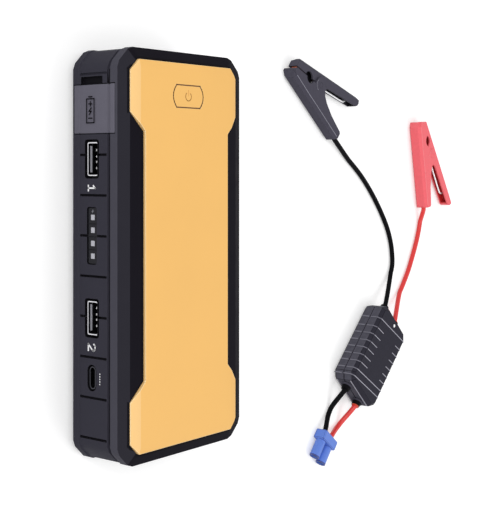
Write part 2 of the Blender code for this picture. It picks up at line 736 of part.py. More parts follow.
def make_back_shell():
    panel = pack_outline(BACK_LIP + GAP)
    tray = pack_outline(SHELL_INSET)
    shell = loft("back_shell", [
        (panel, 0.0), (panel, LIP_HIGH + GAP), (tray, LIP_HIGH + GAP), (tray, SHELL_SPLIT)],
        SHELL_PLASTIC)
    inner = pack_outline(SHELL_INSET + SHELL_WALL)
    low_inner = pack_outline(BACK_LIP + GAP + SHELL_WALL)
    floor = LIP_HIGH + GAP + SHELL_WALL
    boolean(shell, loft("back_inside", [
        (low_inner, SHELL_WALL), (low_inner, floor), (inner, floor), (inner, SHELL_SPLIT + GAP)]))
    for number, (x, y) in enumerate(shell_screws()):
        boolean(shell, rod(
            f"back_boss_{number}", (x, y, GAP), (x, y, SCREW_BOSS_HIGH), SCREW_BOSS_RADIUS), "UNION")
    for number, (x, y) in enumerate(board_posts()):
        boolean(shell, rod(
            f"board_post_{number}", (x, y, GAP), (x, y, BOARD_LOW - GAP), BOARD_POST_RADIUS,
            segments=12), "UNION")
    holes = []
    for number, (x, y) in enumerate(shell_screws()):
        holes.append(rod(
            f"screw_hole_{number}", (x, y, -GAP), (x, y, SCREW_BOSS_HIGH + GAP),
            SCREW_SHANK_RADIUS + GAP))
    boolean(shell, joined("screw_holes", holes))
    recesses = []
    for number, (x, y) in enumerate(shell_screws()):
        recesses.append(rod(
            f"screw_recess_{number}", (x, y, -GAP),
            (x, y, SCREW_HEAD_LOW + SCREW_HEAD_HEIGHT + GAP), SCREW_HEAD_RADIUS + GAP))
    boolean(shell, joined("screw_recesses", recesses))
    cut_side_openings(shell, "back")
    return shell


def cut_side_openings(shell, name):
    depth = SHELL_X + SHELL_WALL + PAST
    boolean(shell, port_cutter(f"{name}_ports", GAP, depth))
    boolean(shell, side_solid(f"{name}_socket_opening", socket_outline(GAP), SIDE_X, depth))
    boolean(shell, torch_hole(f"{name}_torch_hole", TORCH_RADIUS + GAP))


def make_front_shell():
    tray = pack_outline(SHELL_INSET)
    shell = loft("front_shell", [(tray, SHELL_SPLIT + GAP), (tray, DECK_HIGH)], SHELL_PLASTIC)
    inner = pack_outline(SHELL_INSET + SHELL_WALL)
    boolean(shell, loft("front_inside", [(inner, SHELL_SPLIT), (inner, DECK_HIGH - SHELL_WALL)]))
    deck = DECK_HIGH - GAP
    for number, (x, y) in enumerate(shell_screws()):
        boolean(shell, rod(
            f"front_boss_{number}", (x, y, SCREW_BOSS_HIGH + GAP), (x, y, deck),
            SCREW_BOSS_RADIUS), "UNION")
    for sign in (-1, 1):
        boolean(shell, rod(
            f"switch_post_{sign}", (sign * SWITCH_POST_OFFSET, BUTTON_Y, SWITCH_LOW),
            (sign * SWITCH_POST_OFFSET, BUTTON_Y, deck), SWITCH_POST_RADIUS, segments=12), "UNION")
    holes = []
    for number, (x, y) in enumerate(shell_screws()):
        holes.append(rod(
            f"pilot_hole_{number}", (x, y, SCREW_BOSS_HIGH), (x, y, SCREW_TIP + SCREW_PILOT),
            SCREW_SHANK_RADIUS + GAP))
    boolean(shell, joined("pilot_holes", holes))
    opening = button_outline(
        BUTTON_LENGTH + 2 * (BUTTON_FLANGE + LOOSE), BUTTON_WIDTH + 2 * (BUTTON_FLANGE + LOOSE),
        BUTTON_BULGE)
    opening = [(x, y + BUTTON_Y) for x, y in opening]
    boolean(shell, outline_solid(
        "deck_opening", opening, DECK_HIGH - BUTTON_FLANGE - BUTTON_TRAVEL - 2 * GAP, DECK_HIGH + GAP))
    cut_side_openings(shell, "front")
    return shell


def make_front_plate():
    """The plate's margin slopes down towards the pack's sides and ends."""
    plate = outline_solid("front_plate", plate_outline(), DECK_HIGH + GAP, PACK_THICKNESS, PLATE_PLASTIC)
    margin_x = PACK_WIDTH / 2 - PLATE_MARGIN
    margin_y = PACK_LENGTH / 2 - PLATE_END_MARGIN
    bm = bmesh.new()
    bm.from_mesh(plate.data)
    for normal, reach in (((1, 0, 0), margin_x), ((0, 1, 0), margin_y)):
        for sign in (-1, 1):
            place = [sign * reach * part for part in normal]
            bmesh.ops.bisect_plane(
                bm, geom=bm.verts[:] + bm.edges[:] + bm.faces[:], plane_co=place, plane_no=normal)
    fall = PLATE_MARGIN_DROP / (margin_x - PLATE_WIDE / 2)
    for vert in bm.verts:
        if vert.co.z > PACK_THICKNESS - GAP:
            outside = max(abs(vert.co.x) - margin_x, (abs(vert.co.y) - margin_y) * 0.8, 0.0)
            vert.co.z += outside * fall
    bmesh.ops.triangulate(bm, faces=[face for face in bm.faces if len(face.verts) > 4])
    bmesh.ops.recalc_face_normals(bm, faces=bm.faces)
    bm.to_mesh(plate.data)
    bm.free()
    hole = button_outline(BUTTON_LENGTH + 2 * GAP, BUTTON_WIDTH + 2 * GAP, BUTTON_BULGE)
    hole = [(x, y + BUTTON_Y) for x, y in hole]
    boolean(plate, outline_solid("button_hole", hole, DECK_HIGH - GAP, PACK_THICKNESS + 2 * GAP))
    return plate


def make_screws():
    width, depth = SCREW_SLOT
    for number, (x, y) in enumerate(shell_screws(), start=1):
        screw = rod(
            f"shell_screw_{number}", (x, y, SCREW_HEAD_LOW),
            (x, y, SCREW_HEAD_LOW + SCREW_HEAD_HEIGHT), SCREW_HEAD_RADIUS, STEEL)
        boolean(screw, rod(
            f"screw_shank_{number}", (x, y, SCREW_HEAD_LOW + GAP), (x, y, SCREW_TIP),
            SCREW_SHANK_RADIUS), "UNION")
        boolean(screw, box(
            f"screw_slot_{number}", (x - width / 2, y - SCREW_HEAD_RADIUS, SCREW_HEAD_LOW - GAP),
            (x + width / 2, y + SCREW_HEAD_RADIUS, SCREW_HEAD_LOW + depth)))


# ---------------------------------------------------------------- button and its switch


def make_button():
    top = PACK_THICKNESS
    flange_high = DECK_HIGH
    flange_low = flange_high - BUTTON_FLANGE
    stem_low = SWITCH_HIGH - BUTTON_TRAVEL
    raised = [(x, y + BUTTON_Y) for x, y in button_outline(BUTTON_LENGTH, BUTTON_WIDTH, BUTTON_BULGE)]
    wide = button_outline(
        BUTTON_LENGTH + 2 * BUTTON_FLANGE, BUTTON_WIDTH + 2 * BUTTON_FLANGE, BUTTON_BULGE)
    wide = [(x, y + BUTTON_Y) for x, y in wide]
    button = outline_solid("power_button", raised, flange_low + GAP, top, PLATE_PLASTIC)
    boolean(button, outline_solid("button_flange", wide, flange_low, flange_high), "UNION")
    boolean(button, rod(
        "button_stem", (0, BUTTON_Y, stem_low), (0, BUTTON_Y, flange_low + 2 * GAP),
        BUTTON_STEM_RADIUS), "UNION")
    return button


def make_switch():
    half = SWITCH_SIZE / 2
    switch = box(
        "power_switch", (-half, BUTTON_Y - half, SWITCH_LOW), (half, BUTTON_Y + half, SWITCH_HIGH),
        PORT_PLASTIC)
    boolean(switch, rod(
        "switch_well", (0, BUTTON_Y, SWITCH_HIGH - SWITCH_WELL), (0, BUTTON_Y, SWITCH_HIGH + GAP),
        BUTTON_STEM_RADIUS + GAP))
    length, width, thickness = SWITCH_BOARD
    box(
        "switch_board", (-length / 2, BUTTON_Y - width / 2, SWITCH_LOW - GAP - thickness),
        (length / 2, BUTTON_Y + width / 2, SWITCH_LOW - GAP), BOARD_GREEN)


# ---------------------------------------------------------------- ports


def make_usb_a(place, y):
    length, height, depth = USB_A_SIZE
    shell = side_solid(
        f"usb_a_shell_{place}", rounded_outline(length, height, USB_A_CORNER, (y, PORT_Z), 1),
        PORT_X, PORT_X + depth, PORT_METAL)
    inner = rounded_outline(
        length - 2 * USB_A_WALL, height - 2 * USB_A_WALL, USB_A_INNER_CORNER, (y, PORT_Z), 1)
    rear = PORT_X + depth - USB_A_REAR
    boolean(shell, side_solid(f"usb_a_inside_{place}", inner, PORT_X - GAP, rear))
    wide, thick, reach = USB_A_TONGUE
    z = PORT_Z - USB_A_TONGUE_DROP
    back = rear - GAP
    tongue = box(
        f"usb_a_tongue_{place}", (back - reach, y - wide / 2, z - thick / 2),
        (back, y + wide / 2, z + thick / 2), PORT_PLASTIC)
    inner_half = height / 2 - USB_A_WALL - GAP
    boolean(tongue, box(
        f"usb_a_root_{place}", (back - USB_A_ROOT, y - wide / 2 - GAP, PORT_Z - inner_half),
        (back + GAP / 2, y + wide / 2 + GAP, PORT_Z + inner_half)), "UNION")


def make_usb_c():
    depth = USB_C_SIZE[2]
    shell = side_solid("usb_c_shell", usb_c_outline(0.0), PORT_X, PORT_X + depth, PORT_METAL)
    rear = PORT_X + depth
    legs = []
    thick, wide = USB_C_LEG
    leg_rear = rear - USB_C_LEG_REAR
    for sign in (-1, 1):
        y = USB_C_Y + sign * (USB_C_SIZE[0] / 2 - USB_C_SIZE[1] / 2 - wide)
        legs.append(box(
            f"usb_c_leg_{sign}", (leg_rear - thick, y - wide / 2, BOARD_HIGH + GAP),
            (leg_rear, y + wide / 2, PORT_Z - USB_C_SIZE[1] / 2 + GAP)))
    boolean(shell, joined("usb_c_legs", legs), "UNION")
    boolean(shell, side_solid(
        "usb_c_inside", usb_c_outline(-USB_C_WALL), PORT_X - GAP, rear - USB_C_REAR))
    wide, thick, reach = USB_C_TONGUE
    back = rear - USB_C_REAR - GAP
    tongue = box(
        "usb_c_tongue", (back - reach, USB_C_Y - wide / 2, PORT_Z - thick / 2),
        (back, USB_C_Y + wide / 2, PORT_Z + thick / 2), PORT_PLASTIC)
    boolean(tongue, side_solid(
        "usb_c_root", usb_c_outline(-USB_C_WALL - GAP), back - USB_C_ROOT, back + GAP / 2), "UNION")


def make_window():
    length, height, depth = WINDOW_SIZE
    side_solid(
        "indicator_window", rounded_outline(length, height, WINDOW_CORNER, (WINDOW_Y, PORT_Z)),
        PORT_X, PORT_X + depth, WINDOW_PLASTIC)


def make_jump_socket():
    socket = side_solid(
        "jump_socket", socket_outline(), SOCKET_X, SOCKET_X + SOCKET_DEPTH, CONNECTOR_BLUE)
    cavity = slot_outline(*SOCKET_CAVITY_SIZE, (COVER_Y, PORT_Z))
    floor = SOCKET_X + SOCKET_CAVITY
    boolean(socket, side_solid("socket_cavity", cavity, SOCKET_X - GAP, floor))
    names = {"positive": 1, "negative": -1}
    holes = []
    for name, sign in names.items():
        y = COVER_Y + sign * BARREL_PITCH / 2
        rear = SOCKET_X + SOCKET_DEPTH + PIN_TAIL
        rod(
            f"socket_contact_{name}", (SOCKET_X + PIN_RECESS, y, PORT_Z), (rear, y, PORT_Z),
            PIN_RADIUS, BRASS, segments=16)
        holes.append(rod(
            f"socket_hole_{name}", (floor - PAST, y, PORT_Z), (rear + GAP, y, PORT_Z),
            PIN_RADIUS + GAP, segments=16))
    boolean(socket, joined("socket_holes", holes))


# ---------------------------------------------------------------- board, cells, wires, torch


def make_board():
    board = box(
        "main_board", (BOARD_X[0], BOARD_Y[0], BOARD_LOW), (BOARD_X[1], BOARD_Y[1], BOARD_HIGH),
        BOARD_GREEN)
    chips = []
    for number, (inwards, along, (width, length, rise)) in enumerate(BOARD_CHIPS):
        x = BOARD_X[0] + inwards * MM
        y = along * SEAM_PITCH - length / 2 * MM
        chips.append(box(
            f"chip_{number}", (x, y, BOARD_HIGH - GAP),
            (x + width * MM, y + length * MM, BOARD_HIGH + rise * MM)))
    boolean(board, joined("chips", chips), "UNION")


CELL_LOW = SHELL_WALL + CELL_PAD_THICKNESS + 2 * GAP
CELL_PITCH = (DECK_HIGH - SHELL_WALL - CELL_LOW) / CELL_COUNT
CELL_THICKNESS = CELL_PITCH - GAP


def make_cells():
    low = SHELL_WALL + GAP
    box("cell_pad", (CELL_X[0], CELL_Y[0], low), (CELL_X[1], CELL_Y[1], low + CELL_PAD_THICKNESS), FOAM)
    center = ((CELL_X[0] + CELL_X[1]) / 2, (CELL_Y[0] + CELL_Y[1]) / 2)
    outline = rounded_outline(
        CELL_X[1] - CELL_X[0], CELL_Y[1] - CELL_Y[0], CELL_CORNER, center)
    for number in range(CELL_COUNT):
        low = CELL_LOW + number * CELL_PITCH
        outline_solid(f"battery_cell_{number + 1}", outline, low, low + CELL_THICKNESS, CELL_WRAP)


def cell_middle(number):
    """Height of the middle of one cell, counted from 1 at the bottom."""
    return CELL_LOW + (number - 1) * CELL_PITCH + CELL_THICKNESS / 2


def make_wires():
    """Each heavy wire runs from a socket contact's tail to the end of a cell."""
    looks = {"positive": RED_CORD, "negative": BLACK_CORD}
    cells = {"positive": CELL_COUNT, "negative": 1}
    sides = {"positive": 1, "negative": -1}
    for name, (reach, first_bends, last_bends) in WIRES.items():
        start = Vector((
            SOCKET_X + SOCKET_DEPTH + PIN_TAIL + GAP, COVER_Y + sides[name] * BARREL_PITCH / 2, PORT_Z))
        end = Vector((start.x + reach * MM, CELL_Y[1] + GAP, cell_middle(cells[name])))
        points = [start]
        points += [start + Vector(bend) * MM for bend in first_bends]
        points += [end + Vector(bend) * MM for bend in last_bends]
        tube(f"{name}_wire", smooth_route([*points, end], WIRE_STEP), WIRE_RADIUS, looks[name], 2)


def make_torch():
    front = PACK_LENGTH / 2 - SHELL_INSET
    lens = (TORCH_X, front, PORT_Z)
    rod("torch_lens", lens, (TORCH_X, front + TORCH_LENS_THICKNESS, PORT_Z), TORCH_RADIUS, LENS_PLASTIC)
    rim = front - GAP
    back = rim - TORCH_DEPTH
    reflector = rod(
        "torch_reflector", (TORCH_X, back, PORT_Z), (TORCH_X, rim, PORT_Z), REFLECTOR_BACK_RADIUS,
        REFLECTOR_METAL, end_radius=TORCH_RADIUS)
    boolean(reflector, rod(
        "reflector_inside", (TORCH_X, back + REFLECTOR_WALL, PORT_Z), (TORCH_X, rim + GAP, PORT_Z),
        REFLECTOR_BACK_RADIUS - REFLECTOR_WALL, end_radius=TORCH_RADIUS - REFLECTOR_WALL))
    boolean(reflector, rod(
        "reflector_hole", (TORCH_X, back - GAP, PORT_Z), (TORCH_X, back + 2 * REFLECTOR_WALL, PORT_Z),
        REFLECTOR_HOLE_RADIUS, segments=12))
    radius, thickness = TORCH_LED
    rod(
        "torch_light", (TORCH_X, back - GAP - thickness, PORT_Z), (TORCH_X, back - GAP, PORT_Z),
        radius, BOARD_GREEN)


# ---------------------------------------------------------------- clamps


CLAMP_WALL_UNITS = CLAMP_WALL / CLAMP_UNIT
BASE_INNER = CLAMP_WIDTH - 2 * CLAMP_WALL
LEVER_WIDTH = BASE_INNER - 2 * GAP
LEVER_INNER = LEVER_WIDTH - 2 * CLAMP_WALL
CLAMP_INNER_EDGE = CLAMP_EDGE - CLAMP_WALL * (2 - math.sqrt(2))


def jaw_line(p):
    return JAW_START[1] + (p - JAW_START[0]) * JAW_SLOPE


def lever_back(p):
    """Outer edge of the moving lever."""
    return LEVER_START + (p - 1.7) * LEVER_SLOPE


def base_outline():
    """Side view of the cord lever: its back along q = 0, its jaw edge, and a boss at the pivot."""
    boss = ring_points(CLAMP_PIVOT, CLAMP_BOSS, 10, 150, 7)
    return [
        (0.0, 3.4), (3.0, 0.0), (59.0, 0.0), (60.0, 1.0), (60.0, 5.6), (58.8, 6.5), (46.0, 8.0),
        (37.0, 10.4), (33.2, 12.4), *boss, (20.4, jaw_line(20.4) - JAW_PARTING),
        (1.2, jaw_line(1.2) - JAW_PARTING), (0.0, jaw_line(0.0) - JAW_PARTING - 0.6),
    ]


def lever_outline():
    """Side view of the moving lever, from its jaw tip past the pivot to the blunt grip end."""
    boss = ring_points(CLAMP_PIVOT, CLAMP_BOSS, 205, 320, 6)
    end = lever_back(61.0)
    return [
        (0.9, jaw_line(0.9) + JAW_PARTING), (20.0, jaw_line(20.0) + JAW_PARTING), *boss,
        (33.4, 19.0), (61.2, end - 7.4), (63.4, end - 6.6), (64.8, end - 4.9), (65.1, end - 2.9),
        (64.1, end - 0.9), (62.0, end), (2.0, lever_back(2.0)), (0.7, lever_back(0.0) - 1.2),
    ]


def teeth_outline(side):
    """Side view of one copper jaw plate; side is -1 on the cord lever and 1 on the moving one."""
    start, end = JAW_PLATE
    points = []
    pitch = (end - start) / TOOTH_COUNT
    for number in range(TOOTH_COUNT):
        low = start + number * pitch
        tip = low + pitch / 2
        points.append((low, jaw_line(low) + side * (TOOTH_PARTING + TOOTH_HEIGHT)))
        points.append((tip, jaw_line(tip) + side * TOOTH_PARTING))
    depth = TOOTH_PARTING + TOOTH_HEIGHT
    points.append((end, jaw_line(end) + side * depth))
    depth += JAW_PLATE_THICKNESS
    points.append((end, jaw_line(end) + side * depth))
    points.append((start, jaw_line(start) + side * depth))
    return points


def slab(name, outline, width, look=None):
    """A clamp outline as a solid of this width, halved by the clamp's own middle plane."""
    outline = [(p * CLAMP_UNIT, q * CLAMP_UNIT) for p, q in outline]
    return outline_solid(name, outline, -width / 2, width / 2, look)


def base_eased(point, ease):
    """A point of the cord lever's outline, kept this far from the line of its back."""
    return point[0], max(point[1], ease)


def lever_eased(point, ease):
    """A point of the moving lever's outline, kept this far from the line of its back."""
    return point[0], min(point[1], lever_back(point[0]) - ease)


def edged_slab(name, outline, width, edge, start, eased, look=None):
    """A slab whose long back edges are cut off; start is where the outline's own back lies."""
    full = [(p * CLAMP_UNIT, q * CLAMP_UNIT) for p, q in outline]
    narrow = [eased(point, start + edge / CLAMP_UNIT) for point in outline]
    narrow = [(p * CLAMP_UNIT, q * CLAMP_UNIT) for p, q in narrow]
    half = width / 2
    return loft(name, [(narrow, -half), (full, edge - half), (full, half - edge), (narrow, half)], look)


def cross_rod(name, center, radius, half, look=None):
    p, q = (part * CLAMP_UNIT for part in center)
    return rod(name, (p, q, -half), (p, q, half), radius, look, segments=16)


def make_base_lever(name, look):
    """A channel that opens towards the moving lever, with a wall at the cord's end."""
    base = edged_slab(f"{name}_base", base_outline(), CLAMP_WIDTH, CLAMP_EDGE, 0.0, base_eased, look)
    wall = CLAMP_WALL_UNITS
    inside = [
        (wall, 4.0), (3.6, wall), (60.0 - 1.7 * wall, wall), (60.0 - 1.7 * wall, 40.0), (wall, 40.0),
    ]
    boolean(base, edged_slab(
        f"{name}_base_inside", inside, BASE_INNER, CLAMP_INNER_EDGE, wall, base_eased))
    height = CLAMP_CORD * CLAMP_UNIT
    boolean(base, rod(
        f"{name}_cord_hole", (CLAMP_LENGTH - CORD_IN_CLAMP - GAP, height, 0),
        (CLAMP_LENGTH + PAST, height, 0), CORD_RADIUS + GAP, segments=16))
    cut_jaw_and_pivot(base, f"{name}_base", PIN_SHAFT_RADIUS + PIN_FIT)
    return base


def cut_jaw_and_pivot(lever, name, bore):
    boolean(lever, cross_rod(f"{name}_jaw_hole", JAW_HOLE, JAW_HOLE_RADIUS, CLAMP_WIDTH))
    boolean(lever, cross_rod(f"{name}_bore", CLAMP_PIVOT, bore, CLAMP_WIDTH))


def make_moving_lever(name, look):
    """A narrower channel that opens towards the cord lever and swings between its sides."""
    lever = edged_slab(
        f"{name}_lever", lever_outline(), LEVER_WIDTH, CLAMP_EDGE, 0.0, lever_eased, look)
    wall = CLAMP_WALL_UNITS
    depth = 1.1 * wall
    inside = [
        (wall, 0.0), (62.4, 0.0), (62.4, lever_back(62.4) - 1.5 * wall),
        (60.8, lever_back(60.8) - depth), (wall + 0.8, lever_back(wall + 0.8) - depth),
    ]
    boolean(lever, edged_slab(
        f"{name}_lever_inside", inside, LEVER_INNER, CLAMP_INNER_EDGE, depth, lever_eased))
    cut_jaw_and_pivot(lever, f"{name}_lever", PIN_SHAFT_RADIUS + GAP)
    return lever


def spring_points():
    """A coil around the pin, with one long arm in each lever; the arms end in short hooks."""
    center = [part * CLAMP_UNIT for part in CLAMP_PIVOT]
    side = SPRING_WIDTH / 2
    clear = CLAMP_WALL_UNITS + (SPRING_WIRE + GAP) / CLAMP_UNIT
    base_arm = [(51.0, clear + 0.2), (49.0, clear + 2.6)]
    lever_arm = [(51.0, lever_back(51.0) - 6.4), (53.4, lever_back(53.4) - 1.25 * clear)]
    points = [(p * CLAMP_UNIT, q * CLAMP_UNIT, -side) for p, q in base_arm]
    start, steps = -100.0, 10
    count = int(SPRING_TURNS * steps)
    for step in range(count + 1):
        angle = math.radians(start - 360.0 * step / steps)
        points.append((
            center[0] + SPRING_RADIUS * math.cos(angle), center[1] + SPRING_RADIUS * math.sin(angle),
            SPRING_WIDTH * (step / count - 0.5),
        ))
    points += [(p * CLAMP_UNIT, q * CLAMP_UNIT, side) for p, q in lever_arm]
    return points


def make_clamp(name, look, place):
    """One clamp, built in its own frame and then placed; its lever turns about an empty on the pin."""
    frame = frame_empty(f"{name}_frame", place)
    center = [part * CLAMP_UNIT for part in CLAMP_PIVOT]
    pivot = frame_empty(f"{name}_pivot", place @ Matrix.Translation((*center, 0.0)))
    fixed = [
        make_base_lever(name, look),
        slab(f"{name}_jaw_base", teeth_outline(-1), BASE_INNER - 2 * GAP, COPPER),
        cross_rod(f"{name}_pin", CLAMP_PIVOT, PIN_SHAFT_RADIUS, CLAMP_WIDTH / 2, STEEL),
        tube(f"{name}_spring", spring_points(), SPRING_WIRE, STEEL, 2),
    ]
    moving = [
        make_moving_lever(name, look),
        slab(f"{name}_jaw_lever", teeth_outline(1), LEVER_INNER - 2 * GAP, COPPER),
    ]
    for piece in fixed:
        attach(piece, frame, place)
    for piece in moving:
        attach(piece, pivot, place)


# ---------------------------------------------------------------- control box, plug and cords


def frame_at(origin, degrees, z=0.0):
    """A level frame whose X axis has this heading."""
    return Matrix.Translation((*origin, z)) @ Matrix.Rotation(math.radians(degrees), 4, "Z")


BOX_FRAME = frame_at(BOX_END, BOX_HEADING)
PLUG_FRAME = frame_at(PLUG_PLACE, PLUG_HEADING)
BLACK_CLAMP_FRAME = frame_at(BLACK_CLAMP_TIP, BLACK_CLAMP_HEADING, CLAMP_WIDTH / 2)
RED_CLAMP_FRAME = frame_at(RED_CLAMP_TIP, RED_CLAMP_HEADING, CLAMP_WIDTH / 2)


def box_outline(inset=0.0):
    half_x, half_y = BOX_LENGTH / 2 - inset, BOX_WIDTH / 2 - inset
    cut = BOX_CORNER - inset * (2 - math.sqrt(2))
    points = cut_corner_outline(half_x, half_y, cut)
    return [(x + BOX_LENGTH / 2, y) for x, y in points]


def box_exits():
    """Where the cords leave the box: name, place along it, offset across it, and direction."""
    return {
        "black_cord": (0.0, -BOX_CORD_OFFSET, -1),
        "red_cord": (0.0, BOX_CORD_OFFSET, -1),
        "black_tail": (BOX_LENGTH, -BOX_CORD_OFFSET, 1),
        "red_tail": (BOX_LENGTH, BOX_CORD_OFFSET, 1),
    }


def make_control_box():
    bottom = loft("module_bottom_shell", [
        (box_outline(BOX_EDGE), 0.0), (box_outline(), BOX_EDGE), (box_outline(), BOX_SPLIT - GAP / 2)],
        BLACK_PLASTIC)
    top = loft("module_top_shell", [
        (box_outline(), BOX_SPLIT + GAP / 2), (box_outline(), BOX_HEIGHT - BOX_EDGE),
        (box_outline(BOX_EDGE), BOX_HEIGHT)], BLACK_PLASTIC)
    inner = box_outline(BOX_WALL)
    boolean(bottom, loft("box_inside_low", [(inner, BOX_FACE), (inner, BOX_SPLIT + GAP)]))
    boolean(top, loft("box_inside_high", [(inner, BOX_SPLIT - GAP), (inner, BOX_HEIGHT - BOX_FACE)]))
    pieces = [bottom, top]
    for shell, side in ((bottom, "low"), (top, "high")):
        holes = []
        for name, (x, y, out) in box_exits().items():
            holes.append(rod(
                f"{name}_hole_{side}", (x - out * (BOX_WALL + PAST), y, BOX_SPLIT),
                (x + out * PAST, y, BOX_SPLIT), BOOT_NECK_RADIUS + GAP, segments=16))
        boolean(shell, joined(f"cord_holes_{side}", holes))
    light = (BOX_LIGHT_IN, 0.0)
    boolean(top, rod(
        "light_hole", (*light, BOX_SPLIT), (*light, BOX_HEIGHT + PAST), BOX_LIGHT_RADIUS + GAP,
        segments=12))
    light_high = BOX_HEIGHT - BOX_LIGHT_SUNK
    pieces.append(rod(
        "module_light", (*light, light_high - BOX_LIGHT_LENGTH), (*light, light_high),
        BOX_LIGHT_RADIUS, LENS_PLASTIC, segments=12))
    board_end = BOX_WALL + BOOT_FLANGE + 2 * GAP + BOX_BOARD_IN
    board_side = BOX_WIDTH / 2 - BOX_WALL - GAP - BOX_BOARD_IN
    board_low = BOX_FACE + GAP
    pieces.append(box(
        "module_board", (board_end, -board_side, board_low),
        (BOX_LENGTH - board_end, board_side, board_low + BOX_BOARD_THICKNESS), BOARD_GREEN))
    for name, (x, y, out) in box_exits().items():
        pieces.append(make_boot(f"{name}_boot", x, y, out))
    for piece in pieces:
        attach(piece, frame_empty("module_frame", BOX_FRAME), BOX_FRAME)


def make_boot(name, x, y, out):
    """A rubber bush: a flange inside the wall, a neck through it and a collar round the cord."""
    inner = x - out * (BOX_WALL + GAP)
    flange = inner - out * BOOT_FLANGE
    end = x + out * BOOT_LENGTH
    boot = rod(
        name, (x + out * GAP, y, BOX_SPLIT), (end, y, BOX_SPLIT), BOOT_RADIUS,
        BLACK_CORD, end_radius=BOOT_RADIUS - BOOT_TAPER)
    boolean(boot, rod(
        f"{name}_neck", (inner - out * BOOT_FLANGE / 2, y, BOX_SPLIT), (x + out * PAST, y, BOX_SPLIT),
        BOOT_NECK_RADIUS), "UNION")
    boolean(boot, rod(
        f"{name}_flange", (flange, y, BOX_SPLIT), (inner, y, BOX_SPLIT), BOOT_FLANGE_RADIUS), "UNION")
    boolean(boot, rod(
        f"{name}_bore", (flange - out * PAST, y, BOX_SPLIT), (end + out * PAST, y, BOX_SPLIT),
        CORD_RADIUS + GAP))
    return boot


def make_plug():
    width, length, height = PLUG_FLANGE
    middle = height / 2
    housing = box(
        "plug_housing", (0.0, -width / 2, 0.0), (length, width / 2, height), CONNECTOR_BLUE)
    soften(housing, PLUG_EDGE)
    pieces = [housing]
    for name, sign in (("black", -1), ("red", 1)):
        y = sign * BARREL_PITCH / 2
        end = length + BARREL_LENGTH
        boolean(housing, rod(
            f"barrel_{name}", (length - PAST, y, middle), (end, y, middle), BARREL_RADIUS), "UNION")
        boolean(housing, rod(
            f"barrel_bore_{name}", (CORD_IN_PLUG, y, middle), (end + GAP, y, middle), PLUG_BORE_RADIUS))
        boolean(housing, rod(
            f"cord_bore_{name}", (-PAST, y, middle), (CORD_IN_PLUG + PAST, y, middle),
            CORD_RADIUS + GAP))
        polarity = "negative" if name == "black" else "positive"
        contact = rod(
            f"plug_contact_{polarity}", (CORD_IN_PLUG + GAP, y, middle), (end - PLUG_TUBE_RECESS, y, middle),
            PLUG_TUBE_RADIUS, BRASS, segments=16)
        boolean(contact, rod(
            f"tube_bore_{name}", (length, y, middle), (end, y, middle),
            PLUG_TUBE_RADIUS - PLUG_TUBE_WALL, segments=16))
        pieces.append(contact)
    for piece in pieces:
        attach(piece, frame_empty("plug_frame", PLUG_FRAME), PLUG_FRAME)


def cord_ends():
    """Each cord's start and end: the place inside its clamp, bush or plug, and where it comes out."""
    ends = {}
    height = CLAMP_CORD * CLAMP_UNIT
    for name, frame in (("black_cord", BLACK_CLAMP_FRAME), ("red_cord", RED_CLAMP_FRAME)):
        ends[name] = [[
            frame @ Vector((CLAMP_LENGTH - CORD_IN_CLAMP, height, 0)),
            frame @ Vector((CLAMP_LENGTH + CORD_RADIUS, height, 0)),
        ]]
    for name, (x, y, out) in box_exits().items():
        inner = BOX_WALL + GAP + BOOT_FLANGE
        ends.setdefault(name, []).append([
            BOX_FRAME @ Vector((x - out * inner, y, BOX_SPLIT)),
            BOX_FRAME @ Vector((x + out * (BOOT_LENGTH + GAP), y, BOX_SPLIT)),
        ])
    for name, sign in (("black_tail", -1), ("red_tail", 1)):
        y, z = sign * BARREL_PITCH / 2, PLUG_FLANGE[2] / 2
        ends[name].append([
            PLUG_FRAME @ Vector((CORD_IN_PLUG, y, z)), PLUG_FRAME @ Vector((-CORD_RADIUS, y, z))])
    return ends


# The stretch of each cord that lies on the surface, in millimetres.
CORD_ROUTES = {
    "black_cord": [
        (164.5, 38.6), (176.5, 30.3), (187, 21), (197, 10), (205, -1.5), (209, -13.5), (207.5, -25),
    ],
    "red_cord": [(240.4, 2.5), (237, -7), (232, -16.5), (226.5, -25.5), (217.5, -36.5)],
    "black_tail": [(147, -92)],
    "red_tail": [(155.5, -101.3)],
}


def make_cords():
    looks = {"black": BLACK_CORD, "red": RED_CORD}
    for name, ((start, out_of_start), (end, out_of_end)) in cord_ends().items():
        between = [Vector((x * MM, y * MM, CORD_RADIUS)) for x, y in CORD_ROUTES[name]]
        points = [start, out_of_start, *between, out_of_end, end]
        route = smooth_route(points, 3.5 * CORD_RADIUS)
        for place in route[1:-1]:
            place.z = max(place.z, CORD_RADIUS)
        tube(name, route, CORD_RADIUS, looks[name.split("_")[0]])


# ---------------------------------------------------------------- the whole object


def main():
    make_bumper()
    make_cover()
    make_back_shell()
    make_front_shell()
    make_front_plate()
    make_screws()
    make_button()
    make_switch()
    for place, y in USB_A_PLACES.items():
        make_usb_a(place, y)
    make_usb_c()
    make_window()
    make_jump_socket()
    make_board()
    make_cells()
    make_wires()
    make_torch()
    make_clamp("black_clamp", BLACK_PLASTIC, BLACK_CLAMP_FRAME)
    make_clamp("red_clamp", RED_PLASTIC, RED_CLAMP_FRAME)
    make_control_box()
    make_plug()
    make_cords()


main()
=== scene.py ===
"""Looks of the jump starter pack and its unplugged clamp lead, around the fixed frame.

The pack lies on its back at z = 0 with its orange plate up, its ports towards -X and its torch
towards +Y. The lead lies on the same surface, on the +X side. Lengths are in metres.
"""

import math

import bmesh
import bpy
from mathutils import Matrix, Vector


